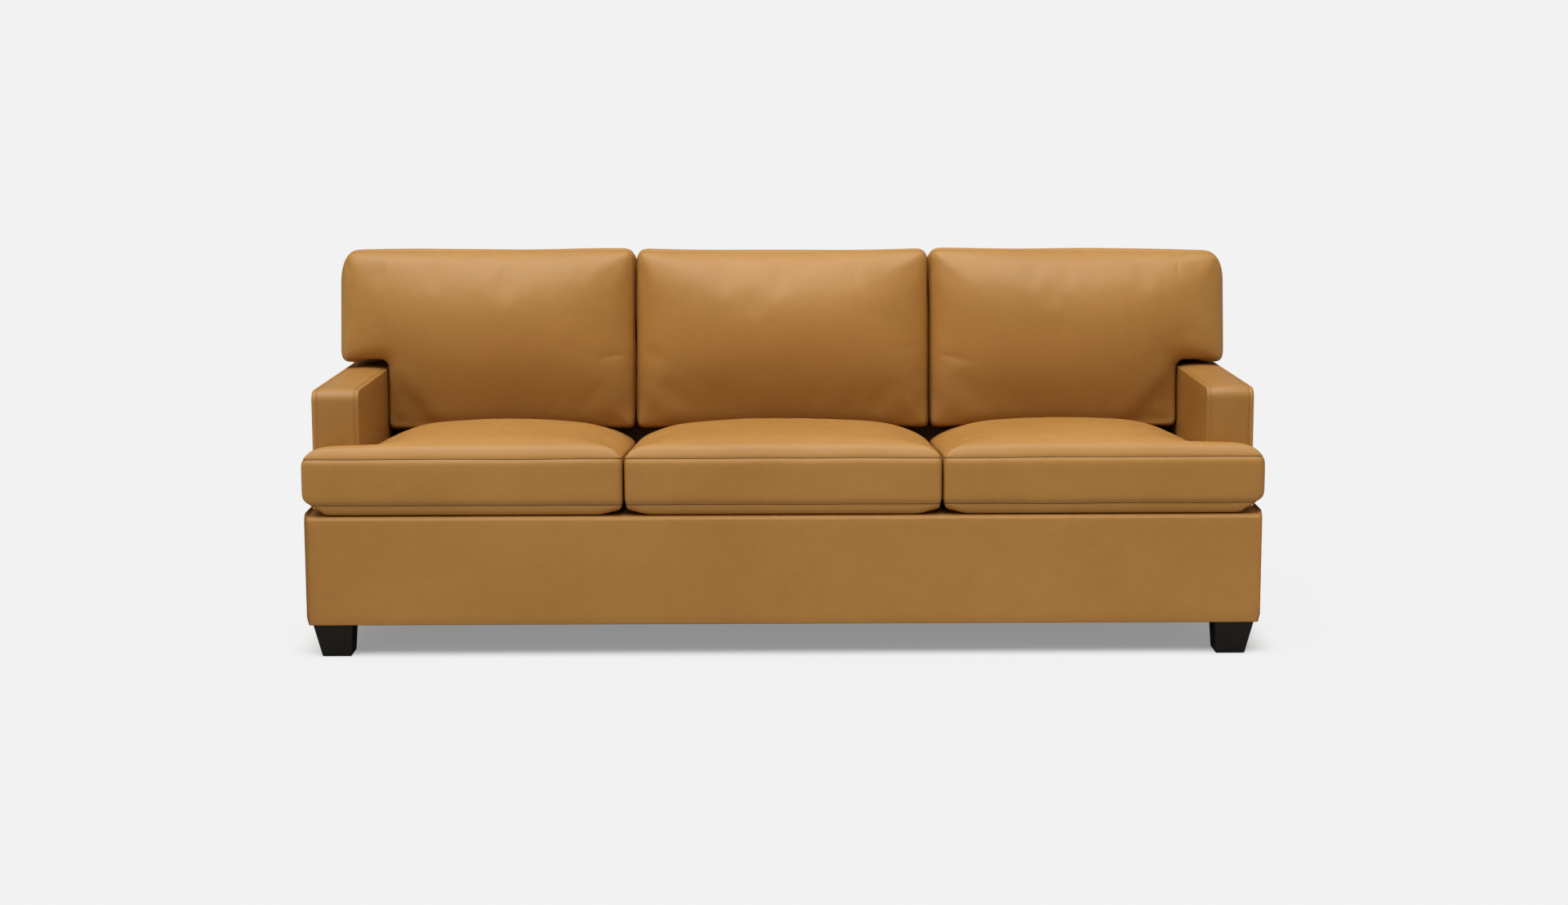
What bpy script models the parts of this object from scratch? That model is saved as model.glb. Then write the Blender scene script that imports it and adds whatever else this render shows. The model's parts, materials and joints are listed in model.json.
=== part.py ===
"""Three-seat sofa: wooden frame, sinuous springs, leather panels, loose boxed cushions and block legs.

Metres, +Z up. The front faces -Y and the origin is on the floor under the middle of the sofa.
Left and right are as seen by someone who stands in front of the sofa and looks at it.
"""

import math

import bmesh
import bpy
from mathutils import Vector
from mathutils.geometry import intersect_point_line

# Driving dimensions
SOFA_WIDTH = 2.180  # over the side panels
SOFA_DEPTH = 0.920  # seat cushion fronts to outside back
LEG_HEIGHT = 0.077  # floor to the underside of the base
DECK_HEIGHT = 0.332  # top of the padded nosing that the seat cushions lie on
ARM_HEIGHT = 0.605
ARM_WIDTH = 0.111
ARM_SETBACK = 0.119  # arm fronts behind the apron, where the seat cushions wrap round them
BACK_FRAME_HEIGHT = 0.795
BACK_TOP_DEPTH = 0.124  # of the back at its top, front to rear
BACK_FOOT_DEPTH = 0.198  # of the back where it meets the deck
PADDING = 0.012  # leather with its thin foam on rails and arms
BACK_PADDING = 0.010
APRON_LIP = 0.003  # thickness of the apron's edge where it turns in under the base
BOARD = 0.025  # thickness of the frame's boards
RAIL_TOP = 0.300
ARM_RAIL = 0.022  # thickness of the rail along the top of an arm
ARM_POST = 0.030  # thickness of an arm's posts, front to rear
ARM_SLACK = 0.003  # between an arm's frame and the back
LINING = 0.005  # thickness of the fibreboard that backs the leather
GAP = 0.0003  # between pieces that touch

# Legs
LEG_TOP = 0.090
LEG_INSET = 0.010  # from the base's outer faces
LEG_OUTER_TAPER = 0.018  # sideways, on the face that points away from the sofa
LEG_INNER_TAPER = 0.005
LEG_FRONT_TAPER = 0.012
LEG_EDGE = 0.002
BOLT_RADIUS = 0.004
BOLT_HOLE_RADIUS = 0.0045
BOLT_IN_LEG = 0.034
BOLT_SIDES = 12
BLOCK_LEG = 0.110
BLOCK_HEIGHT = 0.045

# Seat springs
SPRING_RADIUS = 0.0020
SPRING_HEIGHT = 0.3048
SPRING_HALF_WIDTH = 0.025
SPRING_CORNER = 0.009
SPRING_BENDS = 11
SPRINGS_PER_SEAT = 4
SPRING_SPACING = 0.155
TIE_RADIUS = 0.0015
CLIP_DEPTH = 0.015
CLIP_HEIGHT = 0.009
CLIP_SHEET = 0.0015

# Cushions
MODULE = SOFA_WIDTH / 3
CUSHION_GAP = 0.002
SEAT_PROUD_FRONT = 0.005
SEAT_PROUD_SIDE = 0.008
SEAT_BOTTOM = 0.3335
SEAT_LOWER_SEAM = 0.355
SEAT_UPPER_SEAM = 0.468
SEAT_REAR_SEAM = 0.436
SEAT_CROWN = 0.027
SEAT_RUN_DOWN = -0.10  # y where the top starts to run down under the back cushions
SEAT_REAR = 0.258
BACK_RISE = 0.423  # of a back cushion, along its slope
BACK_THICKNESS = 0.190
BACK_CROWN = 0.030
BACK_REAR_FOOT = 0.441  # height of a back cushion's lower rear edge
WING_CLEARANCE = 0.012  # above the arm
CROWN_REACH = 0.16
BELLY_REACH = 0.05
EDGE_CELL = 0.035
LEATHER = 0.003
CORE_CLEARANCE = 0.0015
ZIP_LENGTH = 0.50
ZIP_WIDTH = 0.008

# Worked out from the dimensions above
HALF_WIDTH = SOFA_WIDTH / 2
REAR = SOFA_DEPTH / 2
SEAT_FRONT = -SOFA_DEPTH / 2
APRON_FRONT = SEAT_FRONT + SEAT_PROUD_FRONT
ARM_FRONT = APRON_FRONT + ARM_SETBACK
ARM_INSIDE = HALF_WIDTH - ARM_WIDTH
FRAME_HALF_WIDTH = HALF_WIDTH - PADDING - 2 * GAP
FRAME_FRONT = APRON_FRONT + PADDING + GAP
FRAME_REAR = REAR - PADDING - 2 * GAP
FRAME_BOTTOM = LEG_HEIGHT + 0.0035
SIDE_RAIL_INSIDE = FRAME_HALF_WIDTH - BOARD
CLIP_BOTTOM = RAIL_TOP + GAP
CLIP_TOP = CLIP_BOTTOM + CLIP_HEIGHT
DECK_UNDERSIDE = 0.310
DECK_PAD_TOP = 0.330
SPRING_RAIL_FRONT = 0.257
STRETCHER_TOP = 0.195
LEAN = math.atan((BACK_FOOT_DEPTH - BACK_TOP_DEPTH) / (BACK_FRAME_HEIGHT - DECK_HEIGHT))
SIDES = ((-1, "left"), (1, "right"))

MATERIALS = {  # base colour, roughness, metallic
    "leather": ((0.423, 0.227, 0.078, 1), 0.45, 0.0),
    "black_wood": ((0.012, 0.011, 0.010, 1), 0.35, 0.0),
    "frame_wood": ((0.520, 0.360, 0.200, 1), 0.70, 0.0),
    "fibreboard": ((0.330, 0.220, 0.130, 1), 0.80, 0.0),
    "spring_steel": ((0.400, 0.400, 0.410, 1), 0.35, 1.0),
    "zinc_steel": ((0.620, 0.620, 0.600, 1), 0.30, 1.0),
    "deck_felt": ((0.090, 0.085, 0.080, 1), 0.95, 0.0),
    "dust_cloth": ((0.015, 0.015, 0.016, 1), 0.95, 0.0),
    "foam": ((0.800, 0.740, 0.520, 1), 0.90, 0.0),
}


def clear_scene():
    for obj in list(bpy.data.objects):
        bpy.data.objects.remove(obj)


def material(name):
    found = bpy.data.materials.get(name)
    if found:
        return found
    colour, roughness, metallic = MATERIALS[name]
    made = bpy.data.materials.new(name)
    made.use_nodes = True
    shader = made.node_tree.nodes["Principled BSDF"]
    shader.inputs["Base Color"].default_value = colour
    shader.inputs["Roughness"].default_value = roughness
    shader.inputs["Metallic"].default_value = metallic
    return made


def add_object(name, bm, material_name):
    """Turns bm into an object with its normals pointing out."""
    bmesh.ops.recalc_face_normals(bm, faces=bm.faces)
    if bm.calc_volume(signed=True) < 0:
        bmesh.ops.reverse_faces(bm, faces=bm.faces)
    mesh = bpy.data.meshes.new(name)
    bm.to_mesh(mesh)
    bm.free()
    mesh.materials.append(material(material_name))
    obj = bpy.data.objects.new(name, mesh)
    bpy.context.scene.collection.objects.link(obj)
    return obj


def box(name, low, high, material_name):
    bm = bmesh.new()
    bmesh.ops.create_cube(bm, size=1)
    for vertex in bm.verts:
        vertex.co = Vector(high[i] if vertex.co[i] > 0 else low[i] for i in range(3))
    return add_object(name, bm, material_name)


def prism(name, outline, axis, start, end, material_name):
    """Extrudes an outline along X, from (y, z) points, or along Z, from (x, y) points."""
    bm = bmesh.new()
    place = {
        "X": lambda point: (start, point[0], point[1]),
        "Z": lambda point: (point[0], point[1], start),
    }[axis]
    face = bm.faces.new([bm.verts.new(place(point)) for point in outline])
    step = Vector((end - start, 0, 0) if axis == "X" else (0, 0, end - start))
    extruded = bmesh.ops.extrude_face_region(bm, geom=[face])
    moved = [item for item in extruded["geom"] if isinstance(item, bmesh.types.BMVert)]
    bmesh.ops.translate(bm, vec=step, verts=moved)
    return add_object(name, bm, material_name)


def cylinder(name, centre, radius, low, high, material_name):
    bm = bmesh.new()
    bmesh.ops.create_cone(
        bm, cap_ends=True, segments=BOLT_SIDES, radius1=radius, radius2=radius, depth=high - low
    )
    bmesh.ops.translate(bm, vec=(centre[0], centre[1], (low + high) / 2), verts=bm.verts)
    obj = add_object(name, bm, material_name)
    obj.data.shade_smooth()
    obj.data.set_sharp_from_angle(angle=math.radians(40))
    return obj


def fillet(outline, radii, steps=3):
    """The outline with an arc of the given radius at each corner, or the corner itself for radius 0."""
    rounded = []
    for i, corner in enumerate(outline):
        corner = Vector(corner)
        radius = radii[i]
        if radius == 0:
            rounded.append(tuple(corner))
            continue
        before = (Vector(outline[i - 1]) - corner).normalized()
        after = (Vector(outline[(i + 1) % len(outline)]) - corner).normalized()
        half_angle = before.angle(after) / 2
        centre = corner + (before + after).normalized() * radius / math.sin(half_angle)
        start = corner + before * radius / math.tan(half_angle) - centre
        end = corner + after * radius / math.tan(half_angle) - centre
        for step in range(steps + 1):
            share = step / steps
            rounded.append(tuple(centre + start.slerp(end, share).normalized() * radius))
    return rounded


def boolean(target, other, operation="DIFFERENCE"):
    """Cuts other from target or joins it to target, and hides other."""
    modifier = target.modifiers.new(other.name, "BOOLEAN")
    modifier.operation = operation
    modifier.object = other
    other.hide_render = True
    other.display_type = "WIRE"


def back_face(z):
    """y of the back's sloping front face at height z."""
    return REAR - BACK_FOOT_DEPTH + (z - DECK_HEIGHT) * math.tan(LEAN)


# Wooden frame


def make_base_frame():
    for name, low_y in (("front_rail", FRAME_FRONT), ("rear_rail", FRAME_REAR - BOARD)):
        box(
            name,
            (-FRAME_HALF_WIDTH, low_y, FRAME_BOTTOM),
            (FRAME_HALF_WIDTH, low_y + BOARD, RAIL_TOP),
            "frame_wood",
        )
    between = (FRAME_FRONT + BOARD + GAP, FRAME_REAR - BOARD - GAP)
    for side, word in SIDES:
        inner, outer = sorted((side * SIDE_RAIL_INSIDE, side * FRAME_HALF_WIDTH))
        box(
            f"side_rail_{word}",
            (inner, between[0], FRAME_BOTTOM),
            (outer, between[1], RAIL_TOP),
            "frame_wood",
        )
        middle = side * MODULE / 2
        box(
            f"stretcher_{word}",
            (middle - BOARD / 2, between[0], FRAME_BOTTOM),
            (middle + BOARD / 2, between[1], STRETCHER_TOP),
            "frame_wood",
        )
    box(
        "rear_spring_rail",
        (-SIDE_RAIL_INSIDE + GAP, SPRING_RAIL_FRONT, STRETCHER_TOP + GAP),
        (SIDE_RAIL_INSIDE - GAP, SPRING_RAIL_FRONT + BOARD, RAIL_TOP),
        "frame_wood",
    )


def make_arm_frame(side, word):
    top = ARM_HEIGHT - PADDING - GAP
    rail_bottom = top - ARM_RAIL
    first = ARM_FRONT + PADDING + GAP
    last = back_face(rail_bottom) - ARM_SLACK
    board = ARM_INSIDE + PADDING + GAP
    low = RAIL_TOP + GAP
    outline = [
        (first, low),
        (back_face(low) - ARM_SLACK, low),
        (back_face(top) - ARM_SLACK, top),
        (first, top),
    ]
    ends = (side * board, side * (board + LINING))
    prism(f"arm_board_{word}", outline, "X", *ends, "fibreboard")
    near, far = sorted((side * (board + LINING + GAP), side * FRAME_HALF_WIDTH))
    for end, low_y in (("front", first), ("rear", back_face(low) - 2 * ARM_POST)):
        box(
            f"arm_{end}_post_{word}",
            (near, low_y, low),
            (far, low_y + ARM_POST, rail_bottom - GAP),
            "frame_wood",
        )
    box(
        f"arm_top_rail_{word}",
        (near, first, rail_bottom),
        (far, last, top),
        "frame_wood",
    )


def make_back_frame():
    rail_bottom = BACK_FRAME_HEIGHT - PADDING - BOARD - GAP
    rail_top = rail_bottom + BOARD

    def inner_face(z):
        return back_face(z) + BACK_PADDING + GAP

    board_ends = (DECK_UNDERSIDE + 0.002, rail_bottom - GAP)
    board = [(inner_face(z), z) for z in board_ends]
    board += [(inner_face(z) + LINING, z) for z in reversed(board_ends)]
    prism("back_board", board, "X", -FRAME_HALF_WIDTH, FRAME_HALF_WIDTH, "fibreboard")

    upright_ends = (RAIL_TOP + GAP, rail_bottom - GAP)
    upright = [(inner_face(z) + LINING + GAP, z) for z in upright_ends]
    upright += [(FRAME_REAR, z) for z in reversed(upright_ends)]
    for side, word in SIDES:
        for place, middle in (("outer", FRAME_HALF_WIDTH - BOARD / 2), ("inner", MODULE / 2)):
            start = side * middle - BOARD / 2
            prism(f"back_upright_{place}_{word}", upright, "X", start, start + BOARD, "frame_wood")
    box(
        "back_top_rail",
        (-FRAME_HALF_WIDTH, inner_face(rail_top), rail_bottom),
        (FRAME_HALF_WIDTH, FRAME_REAR, rail_top),
        "frame_wood",
    )


# Legs


def leg_rectangle(side, end, top):
    """(low x, high x, low y, high y) of a leg's top or bottom."""
    outer_x = HALF_WIDTH - LEG_INSET
    inner_x = outer_x - LEG_TOP
    outer_y = -APRON_FRONT - LEG_INSET
    inner_y = outer_y - LEG_TOP
    if not top:
        outer_x -= LEG_OUTER_TAPER
        inner_x += LEG_INNER_TAPER
        outer_y -= LEG_FRONT_TAPER
        inner_y += LEG_INNER_TAPER
    xs = sorted((side * inner_x, side * outer_x))
    ys = sorted((end * inner_y, end * outer_y))
    return (*xs, *ys)


def make_leg(side, end, word):
    bm = bmesh.new()
    rings = []
    for z, top in ((0.0, False), (LEG_HEIGHT - GAP, True)):
        x0, x1, y0, y1 = leg_rectangle(side, end, top)
        rings.append([bm.verts.new((x, y, z)) for x, y in ((x0, y0), (x1, y0), (x1, y1), (x0, y1))])
    for i in range(4):
        j = (i + 1) % 4
        bm.faces.new((rings[0][i], rings[0][j], rings[1][j], rings[1][i]))
    bm.faces.new(rings[0][::-1])
    bm.faces.new(rings[1])
    leg = add_object(f"leg_{word}", bm, "black_wood")
    edge = leg.modifiers.new("edges", "BEVEL")
    edge.width = LEG_EDGE
    edge.segments = 1

    x0, x1, y0, y1 = leg_rectangle(side, end, True)
    centre = ((x0 + x1) / 2, (y0 + y1) / 2)
    bolt_low = LEG_HEIGHT - BOLT_IN_LEG
    bolt_high = FRAME_BOTTOM + BLOCK_HEIGHT - 0.002
    hole_low = bolt_low - 0.001
    hole = cylinder(f"leg_hole_{word}", centre, BOLT_HOLE_RADIUS, hole_low, 0.1, "zinc_steel")
    boolean(leg, hole)
    cylinder(f"leg_bolt_{word}", centre, BOLT_RADIUS, bolt_low, bolt_high, "zinc_steel")
    make_corner_block(side, end, word, centre)


def make_corner_block(side, end, word, bolt_centre):
    corner_x = side * (SIDE_RAIL_INSIDE - GAP)
    corner_y = (FRAME_FRONT + BOARD + GAP) if end < 0 else (FRAME_REAR - BOARD - GAP)
    outline = [
        (corner_x, corner_y),
        (corner_x - side * BLOCK_LEG, corner_y),
        (corner_x, corner_y - end * BLOCK_LEG),
    ]
    top = FRAME_BOTTOM + BLOCK_HEIGHT
    block = prism(f"corner_block_{word}", outline, "Z", FRAME_BOTTOM, top, "frame_wood")
    hole = cylinder(f"block_hole_{word}", bolt_centre, BOLT_HOLE_RADIUS, 0.0, 0.2, "zinc_steel")
    boolean(block, hole)


# Springs


def wire(name, points, radius):
    """A four-sided wire along points at one height, ends capped."""
    bm = bmesh.new()
    rings = []
    for i, point in enumerate(points):
        before = (point - points[i - 1]).normalized() if i else None
        after = (points[i + 1] - point).normalized() if i + 1 < len(points) else before
        before = before or after
        along = (before + after).normalized()
        across = Vector((-along.y, along.x, 0)) * radius / along.dot(after)
        up = Vector((0, 0, radius))
        rings.append([bm.verts.new(point + offset) for offset in (across, up, -across, -up)])
    for ring, following in zip(rings, rings[1:]):
        for i in range(4):
            j = (i + 1) % 4
            bm.faces.new((ring[i], ring[j], following[j], following[i]))
    bm.faces.new(rings[0][::-1])
    bm.faces.new(rings[-1])
    return add_object(name, bm, "spring_steel")


def sinuous_points(x, start_y, end_y):
    """A zigzag with cut corners, from one clip strip to the other."""
    pitch = (end_y - start_y) / SPRING_BENDS
    corners = []
    for bend in range(SPRING_BENDS + 1):
        y = start_y + bend * pitch
        turn = 1 if bend % 2 == 0 else -1
        corners.append(Vector((x - turn * SPRING_HALF_WIDTH, y, SPRING_HEIGHT)))
        corners.append(Vector((x + turn * SPRING_HALF_WIDTH, y, SPRING_HEIGHT)))
    points = [corners[0]]
    for previous, corner, following in zip(corners, corners[1:], corners[2:]):
        points.append(corner + (previous - corner).normalized() * SPRING_CORNER)
        points.append(corner + (following - corner).normalized() * SPRING_CORNER)
    points.append(corners[-1])
    return points


def make_springs():
    start_y = FRAME_FRONT + BOARD - CLIP_DEPTH + CLIP_SHEET + SPRING_RADIUS + 0.001
    end_y = SPRING_RAIL_FRONT + CLIP_DEPTH - CLIP_SHEET - SPRING_RADIUS - 0.001
    for seat, word in enumerate(("left", "centre", "right")):
        first = (seat * SPRINGS_PER_SEAT - (3 * SPRINGS_PER_SEAT - 1) / 2) * SPRING_SPACING
        xs = [first + i * SPRING_SPACING for i in range(SPRINGS_PER_SEAT)]
        unit = wire(f"seat_springs_{word}", sinuous_points(xs[0], start_y, end_y), SPRING_RADIUS)
        for i, x in enumerate(xs[1:]):
            spring = wire(f"spring_{word}_{i}", sinuous_points(x, start_y, end_y), SPRING_RADIUS)
            boolean(unit, spring, "UNION")
        pitch = (end_y - start_y) / SPRING_BENDS
        for i, bend in enumerate((3.5, 7.5)):
            y = start_y + bend * pitch
            ends = (xs[0] - SPRING_HALF_WIDTH - 0.01, xs[-1] + SPRING_HALF_WIDTH + 0.01)
            tie = [Vector((x, y, SPRING_HEIGHT)) for x in ends]
            boolean(unit, wire(f"tie_{word}_{i}", tie, TIE_RADIUS), "UNION")


def make_clip_strips():
    """C-shaped steel strips on the rails, whose grooves hold the ends of the springs."""
    front = FRAME_FRONT + BOARD
    rear = SPRING_RAIL_FRONT
    reach = SIDE_RAIL_INSIDE - 0.1
    for name, mouth, way in (("spring_clip_front", front, -1), ("spring_clip_rear", rear, 1)):
        wall = mouth + way * CLIP_DEPTH
        inside = wall - way * CLIP_SHEET
        outline = [
            (wall, CLIP_BOTTOM),
            (mouth, CLIP_BOTTOM),
            (mouth, CLIP_BOTTOM + CLIP_SHEET),
            (inside, CLIP_BOTTOM + CLIP_SHEET),
            (inside, CLIP_TOP - CLIP_SHEET),
            (mouth, CLIP_TOP - CLIP_SHEET),
            (mouth, CLIP_TOP),
            (wall, CLIP_TOP),
        ]
        prism(name, outline, "X", -reach, reach, "zinc_steel")


# Fixed upholstery


def make_apron():
    lip_top = LEG_HEIGHT + APRON_LIP
    inside = APRON_FRONT + PADDING
    rear = ARM_FRONT - GAP
    outline = [
        (APRON_FRONT, LEG_HEIGHT),
        (APRON_FRONT + 2 * PADDING, LEG_HEIGHT),
        (APRON_FRONT + 2 * PADDING, lip_top),
        (inside, lip_top),
        (inside, DECK_UNDERSIDE),
        (rear, DECK_UNDERSIDE),
        (rear, DECK_HEIGHT),
        (APRON_FRONT, DECK_HEIGHT),
    ]
    outline = fillet(outline, (0.002, 0, 0, 0, 0, 0, 0, 0.018))
    prism("apron_cover", outline, "X", -HALF_WIDTH, HALF_WIDTH, "leather")


def make_side_panel(side, word):
    front = APRON_FRONT + PADDING + GAP
    rear = REAR - PADDING - GAP
    over_lip = LEG_HEIGHT + APRON_LIP + GAP
    behind_lip = APRON_FRONT + 2 * PADDING + GAP
    under_nosing = DECK_UNDERSIDE - GAP
    outline = [
        (behind_lip, LEG_HEIGHT),
        (rear, LEG_HEIGHT),
        (rear, BACK_FRAME_HEIGHT),
        (back_face(BACK_FRAME_HEIGHT), BACK_FRAME_HEIGHT),
        (back_face(ARM_HEIGHT), ARM_HEIGHT),
        (ARM_FRONT, ARM_HEIGHT),
        (ARM_FRONT, under_nosing),
        (front, under_nosing),
        (front, over_lip),
        (behind_lip, over_lip),
    ]
    outline = fillet(outline, (0, 0, 0, 0.015, 0.004, 0.012, 0, 0, 0, 0))
    start = side * (HALF_WIDTH - PADDING)
    prism(f"side_panel_{word}", outline, "X", start, side * HALF_WIDTH, "leather")


def make_arm_cover(side, word):
    """Front, top and inner face of an arm, open at its underside, rear and outer side."""
    bottom = DECK_UNDERSIDE + 0.0005

    def outline(inset):
        top = ARM_HEIGHT - inset
        low = bottom if inset == 0 else bottom - 0.05
        rear_slack = GAP if inset == 0 else -0.05
        return [
            (ARM_FRONT + inset, low),
            (back_face(low) - rear_slack, low),
            (back_face(top) - rear_slack, top),
            (ARM_FRONT + inset, top),
        ]

    outer = side * (HALF_WIDTH - PADDING - GAP)
    solid = fillet(outline(0), (0, 0, 0, 0.012))
    cover = prism(f"arm_cover_{word}", solid, "X", side * ARM_INSIDE, outer, "leather")
    inner_wall = side * (ARM_INSIDE + PADDING)
    hollow = prism(
        f"arm_hollow_{word}", outline(PADDING), "X", inner_wall, outer + side * 0.05, "leather"
    )
    boolean(cover, hollow)


def make_back_upholstery():
    bottom = DECK_UNDERSIDE + 0.0005
    rear = REAR - PADDING - GAP
    under_top = BACK_FRAME_HEIGHT - PADDING
    outline = [
        (back_face(bottom), bottom),
        (back_face(BACK_FRAME_HEIGHT), BACK_FRAME_HEIGHT),
        (rear, BACK_FRAME_HEIGHT),
        (rear, under_top),
        (back_face(under_top) + BACK_PADDING, under_top),
        (back_face(bottom) + BACK_PADDING, bottom),
    ]
    outline = fillet(outline, (0, 0.015, 0, 0, 0, 0))
    half = HALF_WIDTH - PADDING - GAP
    prism("inside_back_cover", outline, "X", -half, half, "leather")
    box(
        "outside_back_panel",
        (-HALF_WIDTH, REAR - PADDING, LEG_HEIGHT),
        (HALF_WIDTH, REAR, BACK_FRAME_HEIGHT),
        "leather",
    )


def make_deck_and_dust_cover():
    half = ARM_INSIDE - GAP
    box(
        "deck_pad",
        (-half, ARM_FRONT + GAP, DECK_UNDERSIDE),
        (half, back_face(DECK_UNDERSIDE) - GAP, DECK_PAD_TOP),
        "deck_felt",
    )
    half = FRAME_HALF_WIDTH
    front = APRON_FRONT + 2 * PADDING + GAP
    rear = FRAME_REAR
    notch_x = HALF_WIDTH - LEG_INSET - LEG_TOP - 0.006
    notch_y = -APRON_FRONT - LEG_INSET - LEG_TOP - 0.006
    outline = [
        (-notch_x, front),
        (notch_x, front),
        (notch_x, -notch_y),
        (half, -notch_y),
        (half, notch_y),
        (notch_x, notch_y),
        (notch_x, rear),
        (-notch_x, rear),
        (-notch_x, notch_y),
        (-half, notch_y),
        (-half, -notch_y),
        (-notch_x, -notch_y),
    ]
    low = LEG_HEIGHT + GAP
    prism("dust_cover", outline, "Z", low, low + 0.0015, "dust_cloth")


# Cushions


def swell(distance, reach):
    """0 at a cushion's edge, rising smoothly to 1 at reach from it."""
    left = 1 - min(distance / reach, 1)
    return 1 - left * left


class Plan:
    """A cushion's outline: a rectangle, less a corner that an arm fills, drawn in by inset all round."""

    def __init__(self, x0, x1, v0, v1, corner, inset):
        self.x0, self.x1 = x0 + inset, x1 - inset
        self.v0, self.v1 = v0 + inset, v1 - inset
        self.corner = corner  # (x side, v side, x, v), or None
        points = [(self.x0, self.v0), (self.x1, self.v0), (self.x1, self.v1), (self.x0, self.v1)]
        if corner:
            x_side, v_side, x, v = corner
            x -= x_side * inset
            v -= v_side * inset
            self.corner = (x_side, v_side, x, v)
            end_x = self.x1 if x_side > 0 else self.x0
            end_v = self.v1 if v_side > 0 else self.v0
            at = points.index((end_x, end_v))
            step = [(end_x, v), (x, v), (x, end_v)]
            if x_side != v_side:
                step.reverse()
            points[at : at + 1] = step
        self.outline = points

    def holds(self, x, v):
        if not self.corner:
            return True
        x_side, v_side, corner_x, corner_v = self.corner
        return (x - corner_x) * x_side < 0 or (v - corner_v) * v_side < 0

    def edge_distance(self, x, v):
        point = Vector((x, v, 0))
        nearest = 1.0
        for start, end in zip(self.outline, self.outline[1:] + self.outline[:1]):
            start, end = Vector((*start, 0)), Vector((*end, 0))
            foot, share = intersect_point_line(point, start, end)
            foot = start.lerp(end, min(max(share, 0), 1))
            nearest = min(nearest, (point - foot).length)
        return nearest

    def lines(self, axis, cells):
        """Grid lines across the plan: its edges, a line near each edge, and even ones between."""
        low, high = (self.x0, self.x1) if axis == 0 else (self.v0, self.v1)
        found = [low, low + EDGE_CELL, high - EDGE_CELL, high]
        found += [low + (high - low) * i / cells for i in range(1, cells)]
        if self.corner:
            line, side = self.corner[2 + axis], self.corner[axis]
            found = [f for f in found if abs(f - line) > EDGE_CELL * 0.8]
            found += [line, line - side * EDGE_CELL]
        found.sort()
        kept = [found[0]]
        for f in found[1:]:
            if f - kept[-1] > 0.012:
                kept.append(f)
        return kept


def pad(name, plan, top, bottom, material_name):
    """A closed solid between two surfaces over a plan, made of a grid of quads.

    top and bottom each turn (x, v) into a point of the surface.
    """
    xs, vs = plan.lines(0, 5), plan.lines(1, 5)
    bm = bmesh.new()
    points = {}

    def vertex(i, j, layer):
        if (i, j, layer) not in points:
            points[i, j, layer] = bm.verts.new((top, bottom)[layer](xs[i], vs[j]))
        return points[i, j, layer]

    def filled(i, j):
        if not (0 <= i < len(xs) - 1 and 0 <= j < len(vs) - 1):
            return False
        return plan.holds((xs[i] + xs[i + 1]) / 2, (vs[j] + vs[j + 1]) / 2)

    for i in range(len(xs) - 1):
        for j in range(len(vs) - 1):
            if not filled(i, j):
                continue
            ring = [(i, j), (i + 1, j), (i + 1, j + 1), (i, j + 1)]
            bm.faces.new([vertex(a, b, 0) for a, b in ring])
            bm.faces.new([vertex(a, b, 1) for a, b in reversed(ring)])
            for (a, b), (c, d), beside in zip(
                ring, ring[1:] + ring[:1], ((i, j - 1), (i + 1, j), (i, j + 1), (i - 1, j))
            ):
                if not filled(*beside):
                    wall = (vertex(a, b, 0), vertex(a, b, 1), vertex(c, d, 1), vertex(c, d, 0))
                    bm.faces.new(wall)
    return add_object(name, bm, material_name)


def seat_plan(place, inset):
    half = MODULE / 2 - CUSHION_GAP / 2
    if place == 0:
        return Plan(-half, half, SEAT_FRONT, SEAT_REAR, None, inset)
    outer = place * (HALF_WIDTH + SEAT_PROUD_SIDE)
    inner = place * (MODULE / 2 + CUSHION_GAP / 2)
    corner = (place, 1, place * (ARM_INSIDE - CUSHION_GAP), ARM_FRONT - CUSHION_GAP)
    return Plan(*sorted((inner, outer)), SEAT_FRONT, SEAT_REAR, corner, inset)


def seat_pad(name, place, inset, material_name):
    plan = seat_plan(place, inset)

    def run_down(y):
        return min(max((y - SEAT_RUN_DOWN) / (SEAT_REAR - SEAT_RUN_DOWN), 0), 1)

    def top(x, y):
        share = run_down(y)
        seam = SEAT_UPPER_SEAM + (SEAT_REAR_SEAM - SEAT_UPPER_SEAM) * share
        crown = SEAT_CROWN * (1 - share)
        return x, y, seam - inset + crown * swell(plan.edge_distance(x, y), CROWN_REACH)

    def bottom(x, y):
        belly = (SEAT_LOWER_SEAM - SEAT_BOTTOM) * swell(plan.edge_distance(x, y), BELLY_REACH)
        return x, y, SEAT_LOWER_SEAM + inset - belly

    return pad(name, plan, top, bottom, material_name)


def back_plan(place, inset):
    half = MODULE / 2 - CUSHION_GAP / 2
    if place == 0:
        return Plan(-half, half, 0.0, BACK_RISE, None, inset)
    inner = place * (MODULE / 2 + CUSHION_GAP / 2)
    wing_foot = (ARM_HEIGHT + WING_CLEARANCE - BACK_REAR_FOOT) / math.cos(LEAN)
    corner = (place, -1, place * (ARM_INSIDE - CUSHION_GAP), wing_foot)
    return Plan(*sorted((inner, place * HALF_WIDTH)), 0.0, BACK_RISE, corner, inset)


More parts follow.
